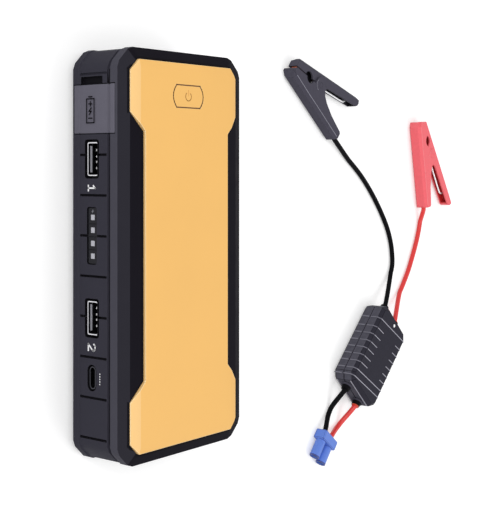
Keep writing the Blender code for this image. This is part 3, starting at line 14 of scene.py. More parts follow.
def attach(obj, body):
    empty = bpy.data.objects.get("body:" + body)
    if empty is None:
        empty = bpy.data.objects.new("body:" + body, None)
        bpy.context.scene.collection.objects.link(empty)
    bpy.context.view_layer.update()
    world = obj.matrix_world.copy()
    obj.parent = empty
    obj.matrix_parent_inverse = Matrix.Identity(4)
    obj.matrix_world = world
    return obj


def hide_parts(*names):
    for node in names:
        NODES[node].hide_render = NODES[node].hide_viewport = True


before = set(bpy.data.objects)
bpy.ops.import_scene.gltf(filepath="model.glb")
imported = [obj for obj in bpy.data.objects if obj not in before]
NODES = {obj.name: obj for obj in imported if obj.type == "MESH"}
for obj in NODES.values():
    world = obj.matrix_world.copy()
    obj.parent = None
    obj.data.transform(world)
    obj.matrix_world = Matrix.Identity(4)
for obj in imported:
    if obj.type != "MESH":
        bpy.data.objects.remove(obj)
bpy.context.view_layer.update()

MM = 0.001

# ---- sizes and places shared with the frame ----
PACK_WIDTH = 74.8 * MM
PACK_LENGTH = 163.6 * MM
SIDE_X = -PACK_WIDTH / 2
PAD_X = -37.0 * MM
PORT_X = -36.5 * MM
PORT_Z = 13.7 * MM
PLATE_TOP = 31.6 * MM
SEAM_PITCH = PACK_LENGTH / 10.3
USB_A_Y = {"upper": 2.395 * SEAM_PITCH, "lower": -1.535 * SEAM_PITCH}
USB_C_Y = -3.01 * SEAM_PITCH
WINDOW_Y = 0.5 * SEAM_PITCH
COVER_Y = 3.63 * SEAM_PITCH
BUTTON_Y = 63.6 * MM
TORCH = (15.0 * MM, 68.7 * MM)
CLAMP_LENGTH = 50.0 * MM
CLAMP_UNIT = CLAMP_LENGTH / 60  # a clamp's shapes are drawn as if it were 60 units long
CLAMP_WIDTH = 7.6 * MM
LEVER_WIDTH = 5.4 * MM
CLAMP_PIVOT = (25.5, 14.6)      # in clamp units, from the tip and from the fixed lever's back
CLAMP_CORD = 3.3                # where the cord leaves a clamp, in clamp units from that back
BLACK_CLAMP_TIP = (105.5 * MM, 81.0 * MM)
BLACK_CLAMP_HEADING = -40.2
RED_CLAMP_TIP = (228.8 * MM, 60.4 * MM)
RED_CLAMP_HEADING = -80.0
BOX_END = (195.4 * MM, -49.2 * MM)
BOX_HEADING = -135.0
BOX_LENGTH = 50.0 * MM
BOX_WIDTH = 30.0 * MM
BOX_HEIGHT = 13.0 * MM
BOX_SPLIT = 6.6 * MM
BOX_CORD_OFFSET = 7.0 * MM
BOX_EDGE = 1.6 * MM
BOX_WALL = 1.5 * MM
BOOT_LENGTH = 3.2 * MM
BOOT_FLANGE = 1.2 * MM
PLUG_PLACE = (141.5 * MM, -104.2 * MM)
PLUG_HEADING = -130.0
PLUG_END = 14.4 * MM
PLUG_HALF_HEIGHT = 3.3 * MM
BARREL_RADIUS = 2.6 * MM
BARREL_PITCH = 7.0 * MM
CORD_RADIUS = 1.3 * MM
CORD_IN_CLAMP = 3.5 * MM
CORD_IN_PLUG = 2.0 * MM
GAP = 0.3 * MM

# The plate's waisted outline, in millimetres: half sizes, the waist's bends and the cut corners.
PLATE_HALF_LENGTH = 77.0
PLATE_HALF_WIDTH = 32.3
WAIST_HALF_WIDTH = 25.3
WAIST_BENDS = (48.8, 56.4)
PLATE_CORNER = 4.4
# How far its corners and bends move for each millimetre that the outline grows.
CORNER_GROWTH = 0.59
BEND_GROWTH = 0.4

# The bumper's front border, in millimetres: its height at three insets from the pack's outline.
BORDER_PROFILE = ((0.0, 28.1), (5.0, 30.0), (14.5, 30.9))

# Levels on the bumper's sides and the spans of its recesses along X, Y and Z, in millimetres.
# The side recess is on both sides, so its X is the distance from the middle.
GROOVE_FOOT = 22.1
RIDGE_FOOT = 24.2
BORDER_FOOT = 28.2
SIDE_RECESS = ((33.0, 36.95), (-72.2, 70.5), (6.6, GROOVE_FOOT))
FLAP_POCKET = ((-36.95, -33.0), (47.0, 70.6), (3.9, 26.9))
STEEP = 0.3                     # a face whose normal rises or falls by less than this is a wall

# The stretch of each cord that lies on the surface, in millimetres.
CORD_ROUTES = {
    "black_cord": [
        (164.5, 38.6), (176.5, 30.3), (187, 21), (197, 10), (205, -1.5), (209, -13.5), (207.5, -25),
    ],
    "red_cord": [(240.4, 2.5), (237, -7), (232, -16.5), (226.5, -25.5), (217.5, -36.5)],
    "black_tail": [(147, -92)],
    "red_tail": [(155.5, -101.3)],
}

# ---- camera, fitted to the photograph ----
CAMERA_PLACE = (-0.3524, 0.0346, 0.3409)
CAMERA_TILT = 38.41            # degrees below the horizon, looking along +X
CAMERA_LENS = 81.6
CAMERA_SHIFT = -0.169

# ---- studio ----
SKY_LEVEL = 0.62
FLOOR_SHADE = 0.86
FLOOR_GLOW = 0.3
FLOOR_DROP = 0.2 * MM
# Each lamp's place, the place it is aimed at, its size and its power.
LAMPS = {
    "key": ((-0.75, 0.25, 0.75), (0.05, 0.0, 0.0), 0.6, 5.0),
    "fill": ((0.5, -0.5, 0.9), (0.08, 0.0, 0.0), 0.9, 3.0),
}

# ---- shared details of the looks ----
NOISE_SPAN = (0.3, 0.7)        # most values of the slow noise lie between these
BUMP_STRENGTH = 0.6
SMOOTH_ANGLE = 40.0            # degrees; sharper edges of the added pieces stay crisp
EASED_ANGLE = 28.0             # degrees; sharper edges of the CAD pieces are rounded
WELD_REACH = 0.002 * MM
RIB_SLANT = 0.2                # how far the box's ribs run back for each millimetre across


# ---------------------------------------------------------------- materials


def linear(red, green, blue):
    """A screen colour, 0 to 255, as linear values."""
    def one(value):
        value /= 255
        return value / 12.92 if value <= 0.04045 else ((value + 0.055) / 1.055) ** 2.4

    return one(red), one(green), one(blue)


def surface(name, color, roughness, metallic=0.0, grain=0.3, grain_depth=0.02, mottle=0.06,
            mottle_size=6.0, worn=0.05, **sockets):
    """A moulded or metal surface: fine grain in the bump, slow changes in colour and gloss.

    grain, grain_depth and mottle_size are in millimetres; mottle and worn are shares.
    """
    made = bpy.data.materials.new(name)
    made.use_nodes = True
    nodes, links = made.node_tree.nodes, made.node_tree.links
    shader = nodes["Principled BSDF"]
    shader.inputs["Metallic"].default_value = metallic
    for socket, value in sockets.items():
        shader.inputs[socket.replace("_", " ")].default_value = value
    place = nodes.new("ShaderNodeTexCoord")

    slow = nodes.new("ShaderNodeTexNoise")
    slow.inputs["Scale"].default_value = 1 / (mottle_size * MM)
    slow.inputs["Detail"].default_value = 4.0
    links.new(place.outputs["Object"], slow.inputs["Vector"])

    mix = nodes.new("ShaderNodeMix")
    mix.data_type = "RGBA"
    mix.inputs["A"].default_value = (*[part * (1 - mottle) for part in color], 1.0)
    mix.inputs["B"].default_value = (*[min(part * (1 + mottle), 1.0) for part in color], 1.0)
    links.new(slow.outputs["Fac"], mix.inputs["Factor"])
    links.new(mix.outputs["Result"], shader.inputs["Base Color"])

    gloss = nodes.new("ShaderNodeMapRange")
    gloss.inputs["From Min"].default_value = NOISE_SPAN[0]
    gloss.inputs["From Max"].default_value = NOISE_SPAN[1]
    gloss.inputs["To Min"].default_value = max(roughness - worn, 0.02)
    gloss.inputs["To Max"].default_value = min(roughness + worn, 1.0)
    links.new(slow.outputs["Fac"], gloss.inputs["Value"])
    links.new(gloss.outputs["Result"], shader.inputs["Roughness"])

    fine = nodes.new("ShaderNodeTexNoise")
    fine.inputs["Scale"].default_value = 1 / (grain * MM)
    fine.inputs["Detail"].default_value = 3.0
    links.new(place.outputs["Object"], fine.inputs["Vector"])
    bump = nodes.new("ShaderNodeBump")
    bump.inputs["Strength"].default_value = BUMP_STRENGTH
    bump.inputs["Distance"].default_value = grain_depth * MM
    links.new(fine.outputs["Fac"], bump.inputs["Height"])
    links.new(bump.outputs["Normal"], shader.inputs["Normal"])
    return made


def dark(name, color, roughness=0.55, **more):
    """A dark moulded surface with little sheen."""
    return surface(name, color, roughness, Specular_IOR_Level=0.03, **more)


RUBBER = dark("bumper_rubber", linear(52, 51, 60), grain=0.35, grain_depth=0.03)
# A lighter copy of the bumper rubber on its eased edges: a painted highlight along them.
RUBBER_EDGE_HIGHLIGHT = dark("bumper_edge_highlight", linear(84, 83, 93), 0.5, grain=0.35, grain_depth=0.01)
# A lighter copy of the bumper rubber on the ridge's walls: painted light.
RUBBER_RIDGE_LIT = dark("bumper_ridge_lit", linear(68, 67, 76), grain=0.35, grain_depth=0.03)
# A lighter copy of the bumper rubber on the border's slope along the ports, which faces the lamp: painted
# light.
RUBBER_SLOPE_LIT = dark("bumper_slope_lit", linear(42, 41, 48), grain=0.35, grain_depth=0.03)
# A darker copy of the bumper rubber on the front border and in the long groove: painted shade.
RUBBER_SHADED = dark("bumper_shaded", linear(20, 18, 25), grain=0.35, grain_depth=0.03)
COVER_RUBBER = dark("cover_rubber", linear(96, 94, 105), 0.5, grain=0.3, grain_depth=0.02)
SHELL_PLASTIC = dark("shell_plastic", linear(42, 42, 47), 0.5, grain=0.5, grain_depth=0.05)
# Near black in gaps, hollows and sunk lines: painted shade.
RECESS_SHADE = dark("recess_shade", linear(20, 19, 23), 0.7, grain=0.2, grain_depth=0.01)
PLATE_PLASTIC = surface(
    "plate_plastic", linear(239, 187, 108), 0.45, grain=0.22, grain_depth=0.012, mottle=0.03,
    mottle_size=25.0, Specular_IOR_Level=0.15)
# A lighter copy of the plate plastic on the margin that leans towards the lamp: painted light.
PLATE_MARGIN_LIT = surface(
    "plate_margin_lit", linear(244, 199, 132), 0.45, grain=0.22, grain_depth=0.012, mottle=0.03,
    mottle_size=25.0, Specular_IOR_Level=0.15)
# A pale cream copy of the plate plastic on its eased edges: a painted highlight.
PLATE_EDGE_HIGHLIGHT = surface(
    "plate_edge_highlight", linear(255, 226, 176), 0.35, grain=0.22, grain_depth=0.008, mottle=0.02)
# Dark brown in and round the button's groove: painted shade.
PLATE_GROOVE_SHADE = surface("plate_groove_shade", linear(82, 50, 18), 0.6, grain=0.2, grain_depth=0.01)
BUTTON_MARK = surface("button_mark", linear(212, 150, 72), 0.5, grain=0.2, grain_depth=0.01)
PORT_METAL = surface(
    "port_metal", linear(226, 226, 230), 0.22, metallic=1.0, grain=0.15, grain_depth=0.004,
    mottle=0.03)
# A darker copy of the port metal inside the USB-A mouths and on the USB-C shell: painted shade.
PORT_INSIDE_SHADE = surface(
    "port_inside_shade", linear(74, 74, 80), 0.35, metallic=1.0, grain=0.2, grain_depth=0.006)
PORT_PLASTIC = dark("port_plastic", linear(24, 24, 27), 0.4, grain=0.2, grain_depth=0.01)
WINDOW_PLASTIC = surface(
    "window_plastic", linear(30, 30, 35), 0.2, grain=0.8, grain_depth=0.003, mottle=0.1,
    Specular_IOR_Level=0.12)
# Pale grey for the window's four lights, and for the strip on each USB-A mouth's floor, where it is a
# painted highlight.
WINDOW_LIGHTS_AND_HIGHLIGHT = surface(
    "window_light", linear(172, 172, 180), 0.35, grain=0.3, grain_depth=0.005, mottle=0.05)
WINDOW_MARK = surface("window_mark", linear(104, 104, 112), 0.4, grain=0.3, grain_depth=0.005)
LENS_PLASTIC = surface(
    "lens_plastic", linear(238, 240, 244), 0.08, grain=1.0, grain_depth=0.003, mottle=0.02,
    Transmission_Weight=0.85, IOR=1.46)
REFLECTOR_METAL = surface(
    "reflector_metal", linear(235, 235, 238), 0.08, metallic=1.0, grain=0.9, grain_depth=0.008)
LED_PHOSPHOR = surface("led_phosphor", linear(238, 214, 96), 0.5, grain=0.3, grain_depth=0.01)
CONNECTOR_BLUE = surface(
    "connector_blue", linear(88, 124, 212), 0.42, grain=0.3, grain_depth=0.02, mottle=0.08,
    mottle_size=2.0)
# A darker blue on the plug's eased edges and the barrels' mouths: painted shade.
BLUE_EDGE_SHADE = surface("connector_edge_shade", linear(44, 62, 138), 0.45, grain=0.3, grain_depth=0.02)
BRASS = surface(
    "contact_brass", linear(226, 186, 110), 0.25, metallic=1.0, grain=0.2, grain_depth=0.005)
BOARD_GREEN = surface("board_green", linear(30, 92, 52), 0.4, grain=0.6, grain_depth=0.02, mottle=0.2)
CELL_WRAP = surface("cell_wrap", linear(170, 174, 182), 0.35, grain=2.0, grain_depth=0.05)
FOAM = surface("cell_foam", linear(62, 62, 64), 0.95, grain=0.5, grain_depth=0.15)
STEEL = surface(
    "fastener_steel", linear(222, 223, 227), 0.24, metallic=1.0, grain=0.2, grain_depth=0.006)
SPRING_STEEL = surface(
    "spring_steel", linear(244, 244, 247), 0.3, metallic=0.4, grain=0.2, grain_depth=0.004)
COPPER = surface(
    "jaw_copper", linear(206, 122, 96), 0.35, metallic=1.0, grain=0.25, grain_depth=0.012, mottle=0.2,
    mottle_size=1.5, worn=0.1)
BLACK_PLASTIC = dark(
    "black_clamp_plastic", linear(74, 72, 83), 0.5, grain=0.4, grain_depth=0.045, mottle=0.14,
    mottle_size=1.6)
# Near black on the black clamp's eased edges: painted shade along them.
BLACK_EDGE_SHADE = dark("black_clamp_edge_shade", linear(22, 21, 26), 0.6, grain=0.4, grain_depth=0.03)
# Light grey on the black clamp's crease and boss arc: a painted highlight.
BLACK_CREASE_HIGHLIGHT = dark("black_clamp_highlight", linear(148, 147, 158), 0.45, grain=0.3, grain_depth=0.01)
# A darker copy of the black clamp's plastic lining its channels: painted shade.
BLACK_INSIDE_SHADE = dark("black_clamp_inside_shade", linear(40, 39, 45), grain=0.4, grain_depth=0.04)
BOX_RUBBER = dark(
    "module_rubber", linear(48, 47, 56), 0.5, grain=0.35, grain_depth=0.06, mottle=0.22,
    mottle_size=1.4)
# A lighter copy of the box rubber on its walls: painted light.
BOX_SIDE_LIT = dark(
    "module_side_lit", linear(80, 79, 89), 0.5, grain=0.35, grain_depth=0.06, mottle=0.25, mottle_size=1.4)
# Near black on the box's eased edges: painted shade along them.
BOX_EDGE_SHADE = dark("module_edge_shade", linear(26, 25, 31), 0.6, grain=0.35, grain_depth=0.05)
# Light grey on the ribs of the box's walls: a painted highlight.
BOX_WRAP_HIGHLIGHT = dark("module_wrap_highlight", linear(120, 119, 130), 0.5, grain=0.3, grain_depth=0.04)
# A lighter grey on the ribs of the box's top and end: a painted highlight.
BOX_RIB_HIGHLIGHT = dark("module_rib_highlight", linear(178, 177, 188), 0.45, grain=0.3, grain_depth=0.01)
RED_PLASTIC = surface(
    "red_clamp_plastic", linear(242, 98, 107), 0.45, grain=0.4, grain_depth=0.04, mottle=0.08,
    mottle_size=1.6)
# A light red on the red clamp's crease and boss arc: a painted highlight.
RED_CREASE_HIGHLIGHT = surface("red_clamp_highlight", linear(252, 140, 146), 0.45, grain=0.3, grain_depth=0.01)
# A darker red on the red clamp's eased edges: painted shade along them.
RED_EDGE_SHADE = surface("red_clamp_edge_shade", linear(206, 66, 76), 0.5, grain=0.4, grain_depth=0.03)
# A darker copy of the red clamp's plastic lining its channels: painted shade.
RED_INSIDE_SHADE = surface("red_clamp_inside_shade", linear(206, 44, 46), 0.5, grain=0.4, grain_depth=0.04)
BLACK_CORD = dark("black_cord_rubber", linear(14, 14, 17), 0.38, grain=0.3, grain_depth=0.015)
RED_CORD = surface("red_cord_rubber", linear(222, 48, 46), 0.36, grain=0.3, grain_depth=0.012)
RED_RING = surface("red_gland_ring", linear(206, 74, 44), 0.45, grain=0.3, grain_depth=0.01)
WHITE_PRINT = surface("white_print", linear(236, 236, 238), 0.5, grain=0.2, grain_depth=0.004)
LED_WHITE = surface(
    "led_cap", linear(244, 245, 248), 0.3, grain=0.4, grain_depth=0.01, mottle=0.02)


# ---------------------------------------------------------------- camera, light and floor


def make_camera():
    """The photograph's view: along +X and down, with the pack's length upright in the picture."""
    tilt = math.radians(CAMERA_TILT)
    data = bpy.data.cameras.new("camera")
    data.lens = CAMERA_LENS
    data.sensor_width = 36.0
    data.shift_y = CAMERA_SHIFT
    data.clip_start = 0.02
    data.clip_end = 20.0
    camera = bpy.data.objects.new("camera", data)
    bpy.context.scene.collection.objects.link(camera)
    side = Vector((math.sin(tilt), 0, math.cos(tilt)))
    up = Vector((0, 1, 0))
    back = Vector((-math.cos(tilt), 0, math.sin(tilt)))
    turn = Matrix((side, up, back)).transposed().to_4x4()
    camera.matrix_world = Matrix.Translation(CAMERA_PLACE) @ turn
    bpy.context.scene.camera = camera


def area_light(name, place, target, size, power):
    """A soft round lamp at a place, aimed at another."""
    data = bpy.data.lights.new(name, "AREA")
    data.shape = "DISK"
    data.size = size
    data.energy = power
    lamp = bpy.data.objects.new(name, data)
    bpy.context.scene.collection.objects.link(lamp)
    lamp.location = place
    aim = Vector(target) - Vector(place)
    lamp.rotation_mode = "QUATERNION"
    lamp.rotation_quaternion = aim.to_track_quat("-Z", "Y")


def plainly_seen(nodes, links):
    """1 for rays from the camera, a reflection or a clear piece, and 0 for the rest."""
    rays = nodes.new("ShaderNodeLightPath")
    value = rays.outputs["Is Camera Ray"]
    for kind in ("Is Glossy Ray", "Is Transmission Ray"):
        either = nodes.new("ShaderNodeMath")
        either.operation = "MAXIMUM"
        links.new(value, either.inputs[0])
        links.new(rays.outputs[kind], either.inputs[1])
        value = either.outputs[0]
    return value


def make_world():
    """An even pale sky; the camera, glossy and clear surfaces see plain white."""
    world = bpy.data.worlds.new("studio")
    world.use_nodes = True
    nodes, links = world.node_tree.nodes, world.node_tree.links
    background = nodes["Background"]
    background.inputs["Color"].default_value = (1, 1, 1, 1)
    strength = nodes.new("ShaderNodeMapRange")
    strength.inputs["To Min"].default_value = SKY_LEVEL
    strength.inputs["To Max"].default_value = 1.0
    links.new(plainly_seen(nodes, links), strength.inputs["Value"])
    links.new(strength.outputs["Result"], background.inputs["Strength"])
    bpy.context.scene.world = world


def make_floor():
    """A pale floor that takes soft shadows and is white where it is looked at."""
    bm = bmesh.new()
    bmesh.ops.create_grid(bm, x_segments=1, y_segments=1, size=4.0)
    mesh = bpy.data.meshes.new("floor")
    bm.to_mesh(mesh)
    bm.free()
    floor = bpy.data.objects.new("floor", mesh)
    bpy.context.scene.collection.objects.link(floor)
    floor.location.z = -FLOOR_DROP
    made = bpy.data.materials.new("pale_floor")
    made.use_nodes = True
    nodes, links = made.node_tree.nodes, made.node_tree.links
    shader = nodes["Principled BSDF"]
    shader.inputs["Base Color"].default_value = (FLOOR_SHADE, FLOOR_SHADE, FLOOR_SHADE, 1)
    shader.inputs["Roughness"].default_value = 0.9
    shine = nodes.new("ShaderNodeMath")
    shine.operation = "MULTIPLY"
    shine.inputs[1].default_value = FLOOR_GLOW
    links.new(plainly_seen(nodes, links), shine.inputs[0])
    shader.inputs["Emission Color"].default_value = (1, 1, 1, 1)
    links.new(shine.outputs[0], shader.inputs["Emission Strength"])
    mesh.materials.append(made)


# ---------------------------------------------------------------- shapes


def piece(name, data, look, body):
    """An object with this mesh or curve and this look, which moves with a body of the frame."""
    obj = bpy.data.objects.new(name, data)
    data.materials.append(look)
    bpy.context.scene.collection.objects.link(obj)
    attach(obj, body)
    return obj


def mesh_from(name, bm):
    """A mesh from bm, smooth but for its sharp edges."""
    bmesh.ops.recalc_face_normals(bm, faces=bm.faces)
    mesh = bpy.data.meshes.new(name)
    bm.to_mesh(mesh)
    bm.free()
    mesh.shade_smooth()
    mesh.set_sharp_from_angle(angle=math.radians(SMOOTH_ANGLE))
    return mesh


def frame_at(origin, degrees, z=0.0):
    """A frame on the surface: its X axis points this many degrees round from the world's."""
    return Matrix.Translation((*origin, z)) @ Matrix.Rotation(math.radians(degrees), 4, "Z")


CLAMP_FRAMES = {
    "black": frame_at(BLACK_CLAMP_TIP, BLACK_CLAMP_HEADING, CLAMP_WIDTH / 2),
    "red": frame_at(RED_CLAMP_TIP, RED_CLAMP_HEADING, CLAMP_WIDTH / 2),
}
BOX_FRAME = frame_at(BOX_END, BOX_HEADING)
PLUG_FRAME = frame_at(PLUG_PLACE, PLUG_HEADING)


def smooth_route(points, spacing):
    """Points about this far apart on a smooth curve; the first and last stretch stay straight."""
    points = [Vector(point) for point in points]
    dense = []
    steps = 24
    for before, start, end, after in zip(points, points[1:], points[2:], points[3:]):
        for step in range(steps):
            t = step / steps
            dense.append(0.5 * (
                2 * start + (end - before) * t
                + (2 * before - 5 * start + 4 * end - after) * t ** 2
                + (3 * start - before - 3 * end + after) * t ** 3
            ))
    dense.append(points[-2])
    lengths = [0.0]
    for first, second in zip(dense, dense[1:]):
        lengths.append(lengths[-1] + (second - first).length)
    count = max(2, round(lengths[-1] / spacing))
    route = [points[0]]
    index = 0
    for number in range(count + 1):
        wanted = lengths[-1] * number / count
        while index < len(dense) - 2 and lengths[index + 1] < wanted:
            index += 1
        share = (wanted - lengths[index]) / (lengths[index + 1] - lengths[index])
        route.append(dense[index].lerp(dense[index + 1], min(share, 1.0)))
    return [*route, points[-1]]


def round_curve(name, points, radius, look, body, resolution=6):
    """A round wire or cord through the points, with closed ends."""
    curve = bpy.data.curves.new(name, "CURVE")
    curve.dimensions = "3D"
    curve.bevel_depth = radius
    curve.bevel_resolution = resolution
    curve.use_fill_caps = True
    spline = curve.splines.new("POLY")
    spline.points.add(len(points) - 1)
    for point, place in zip(spline.points, points):
        point.co = (*place, 1.0)
    return piece(name, curve, look, body)


def lie(origin, right, up):
    """A frame on a surface: its X runs right, its Y up and its Z out of the surface."""
    right, up = Vector(right), Vector(up)
    axes = Matrix((right, up, right.cross(up))).transposed()
    return Matrix.Translation(origin) @ axes.to_4x4()


def relief(name, place, shapes, low, high, look, body):
    """Flat raised shapes on a surface: outlines in millimetres, from low to high above it."""
    bm = bmesh.new()
    for shape in shapes:
        rings = []
        for height in (low, high):
            rings.append([bm.verts.new(place @ (Vector((x, y, height)) * MM)) for x, y in shape])
        bottom, top = rings
        bm.faces.new(list(reversed(bottom)))
        bm.faces.new(top)
        for number in range(len(shape)):
            after = (number + 1) % len(shape)
            bm.faces.new((bottom[number], bottom[after], top[after], top[number]))
    return piece(name, mesh_from(name, bm), look, body)


def bars(paths, width):
    """Outlines of straight bars along each path."""
    shapes = []
    for path in paths:
        for start, end in zip(path, path[1:]):
            start, end = Vector(start), Vector(end)
            along = (end - start).normalized() * width / 2
            across = Vector((-along.y, along.x))
            start, end = start - along, end + along
            shapes.append([start - across, end - across, end + across, start + across])
    return shapes


def blocks(centers, wide, tall):
    """Outlines of rectangles of one size about these centres."""
    return [
        [(x - wide / 2, y - tall / 2), (x + wide / 2, y - tall / 2), (x + wide / 2, y + tall / 2),
         (x - wide / 2, y + tall / 2)]
        for x, y in centers
    ]


def arc(center, radius, start, end, steps):
    """Points on an arc, in degrees."""
    turns = [math.radians(start + (end - start) * step / steps) for step in range(steps + 1)]
    return [(center[0] + radius * math.cos(turn), center[1] + radius * math.sin(turn)) for turn in turns]


def ring_solid(name, place, inner, outer, low, high, look, body, slot):
    """A round collar about the place's X axis, from low to high along it; lengths in metres."""
    bm = bmesh.new()
    segments = 32
    rounds = []
    for radius, along in ((inner, low), (outer, low), (outer, high), (inner, high)):
        rounds.append([
            bm.verts.new(place @ Vector((
                along, radius * math.cos(turn * math.tau / segments),
                radius * math.sin(turn * math.tau / segments))))
            for turn in range(segments)
        ])
    for first, second in zip(rounds, [*rounds[1:], rounds[0]]):
        for number in range(segments):
            after = (number + 1) % segments
            bm.faces.new((first[number], first[after], second[after], second[number]))
    return piece(name, mesh_from(name, bm), look, body)


# ---------------------------------------------------------------- cords


def box_exits():
    """Where each cord leaves the box, along and across it, and which way it runs along the box."""
    return {
        "black_cord": (0.0, -BOX_CORD_OFFSET, -1),
        "red_cord": (0.0, BOX_CORD_OFFSET, -1),
        "black_tail": (BOX_LENGTH, -BOX_CORD_OFFSET, 1),
        "red_tail": (BOX_LENGTH, BOX_CORD_OFFSET, 1),
    }


def cord_ends():
    """Each cord's two ends: the place inside its clamp, bush or plug, and where it comes out."""
    ends = {}
    across = CLAMP_CORD * CLAMP_UNIT
    for color, clamp_frame in CLAMP_FRAMES.items():
        ends[f"{color}_cord"] = [[
            clamp_frame @ Vector((CLAMP_LENGTH - CORD_IN_CLAMP, across, 0)),
            clamp_frame @ Vector((CLAMP_LENGTH + CORD_RADIUS, across, 0)),
        ]]
    inner = BOX_WALL + GAP + BOOT_FLANGE
    for name, (x, y, out) in box_exits().items():
        ends.setdefault(name, []).append([
            BOX_FRAME @ Vector((x - out * inner, y, BOX_SPLIT)),
            BOX_FRAME @ Vector((x + out * (BOOT_LENGTH + GAP), y, BOX_SPLIT)),
        ])
    for name, sign in (("black_tail", -1), ("red_tail", 1)):
        y, z = sign * BARREL_PITCH / 2, PLUG_HALF_HEIGHT
        ends[name].append([
            PLUG_FRAME @ Vector((CORD_IN_PLUG, y, z)), PLUG_FRAME @ Vector((-CORD_RADIUS, y, z))])
    return ends


def clamp_nodes(color):
    return [f"{color}_clamp_{part}" for part in ("base", "lever", "jaw_base", "jaw_lever", "pin", "spring")]


def make_cords():
    """The four flexible cords, each in place of the CAD cord that it follows."""
    looks = {"black": BLACK_CORD, "red": RED_CORD}
    plug = ["plug_housing", "plug_contact_positive", "plug_contact_negative"]
    box_nodes = ["module_top_shell", "module_bottom_shell", "module_board", "module_light"]
    for name, ((start, out_of_start), (end, out_of_end)) in cord_ends().items():
        color, kind = name.split("_")
        between = [Vector((x * MM, y * MM, CORD_RADIUS)) for x, y in CORD_ROUTES[name]]
        route = smooth_route([start, out_of_start, *between, out_of_end, end], 1.2 * CORD_RADIUS)
        for place in route[1:-1]:
            place.z = max(place.z, CORD_RADIUS)
        cord = round_curve(
            f"{name}_flex", route, CORD_RADIUS, looks[color], "pack")
        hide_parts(name)
        carried = clamp_nodes(color) if kind == "cord" else plug
        if name == "black_cord":
            carried = [*carried, *box_nodes]


# ---------------------------------------------------------------- details on the pack


SIDE_RIGHT = ((0, 0, 1), (0, 1, 0))       # the ports' side, seen upright
SIDE_DOWN = ((0, -1, 0), (0, 0, 1))       # the same side, for marks that read downwards
FRONT = ((1, 0, 0), (0, 1, 0))


def make_side_marks():
    """Printed and moulded marks on the ports' side, the contacts inside its mouths, and a pale strip on
    each mouth's floor, a painted highlight.
    """
    digits = {
        "upper": [[(-0.9, 0.9), (0.0, 1.9), (0.0, -1.9)], [(-1.0, -1.9), (1.0, -1.9)]],
        "lower": [[
            (-1.2, 1.2), (-0.75, 1.85), (0.65, 1.85), (1.15, 1.25), (1.15, 0.5), (-1.2, -1.9),
            (1.3, -1.9)]],
    }
    number_drop = 11.4 * MM
    tongue_end, tongue_middle = -32.3 * MM, 12.5 * MM
    shell_floor, highlight_depth = 11.25 * MM, 1.5 * MM
    dots_height = 18.2 * MM
    contacts = blocks([(0.0, part) for part in (-3.55, -1.05, 1.05, 3.55)], 0.6, 0.8)
    # A pale strip on the floor of each mouth: a painted highlight.
    spring = blocks([(0.0, 0.0)], 0.7, 10.4)
    for place, y in USB_A_Y.items():
        number = lie((PAD_X, y - number_drop, PORT_Z), *SIDE_DOWN)
        relief(f"number_{place}", number, bars(digits[place], 0.62), -0.02, 0.06, WHITE_PRINT, "pack")
        inside = lie((tongue_end, y, tongue_middle), *SIDE_RIGHT)
        relief(f"usb_contacts_{place}", inside, contacts, -0.05, 0.9, WHITE_PRINT, "pack")
        floor = lie((PORT_X + highlight_depth, y, shell_floor), *FRONT)
        relief(f"usb_floor_highlight_{place}", floor, spring, -0.05, 0.3, WINDOW_LIGHTS_AND_HIGHLIGHT, "pack")
    dots = lie((PAD_X, USB_C_Y, dots_height), *SIDE_RIGHT)
    marks = blocks([(0.0, part) for part in (-2.0, -1.0, 0.0, 1.0, 2.0)], 0.4, 0.5)
    relief("usb_c_dots", dots, marks, -0.02, 0.06, WHITE_PRINT, "pack")


def make_window_lights():
    """Four square lights and a small bolt on the window, and the splits between them."""
    window = lie((PORT_X, WINDOW_Y, PORT_Z), *SIDE_RIGHT)
    lights = blocks([(0.1, part) for part in (7.2, 2.2, -3.0, -8.0)], 2.0, 2.1)
    relief("window_lights", window, lights, -0.02, 0.05, WINDOW_LIGHTS_AND_HIGHLIGHT, "pack")
    bolt = [[(0.35, 10.55), (-0.7, 9.35), (-0.05, 9.35), (-0.35, 8.75), (0.75, 9.85), (0.05, 9.85)]]
    relief("window_bolt", window, bolt, -0.02, 0.05, WINDOW_MARK, "pack")
    splits = blocks([(0.0, part) for part in (4.7, -0.4, -5.5)], 4.2, 0.3)
    relief("window_splits", window, splits, -0.02, 0.03, PORT_PLASTIC, "pack")


def make_flap_mark():
    """A battery with its plus and minus, sunk lines on the flap, drawn as flat strips of painted shade."""
    mark = lie((SIDE_X, COVER_Y - 0.2 * MM, 13.2 * MM), *SIDE_RIGHT)
    lines = [
        [(-2.1, -5.2), (2.1, -5.2), (2.1, 4.2), (-2.1, 4.2), (-2.1, -5.2)],
        [(-0.9, 5.0), (0.9, 5.0)],
        [(-0.9, 2.2), (0.9, 2.2)],
        [(0.0, 1.3), (0.0, 3.1)],
        [(-0.9, -3.4), (0.9, -3.4)],
        [(0.5, 0.6), (-0.7, -0.7), (0.5, -0.7), (-0.6, -2.0)],
    ]
    relief("flap_mark", mark, bars(lines, 0.42), -0.05, 0.03, RECESS_SHADE, "port_cover")


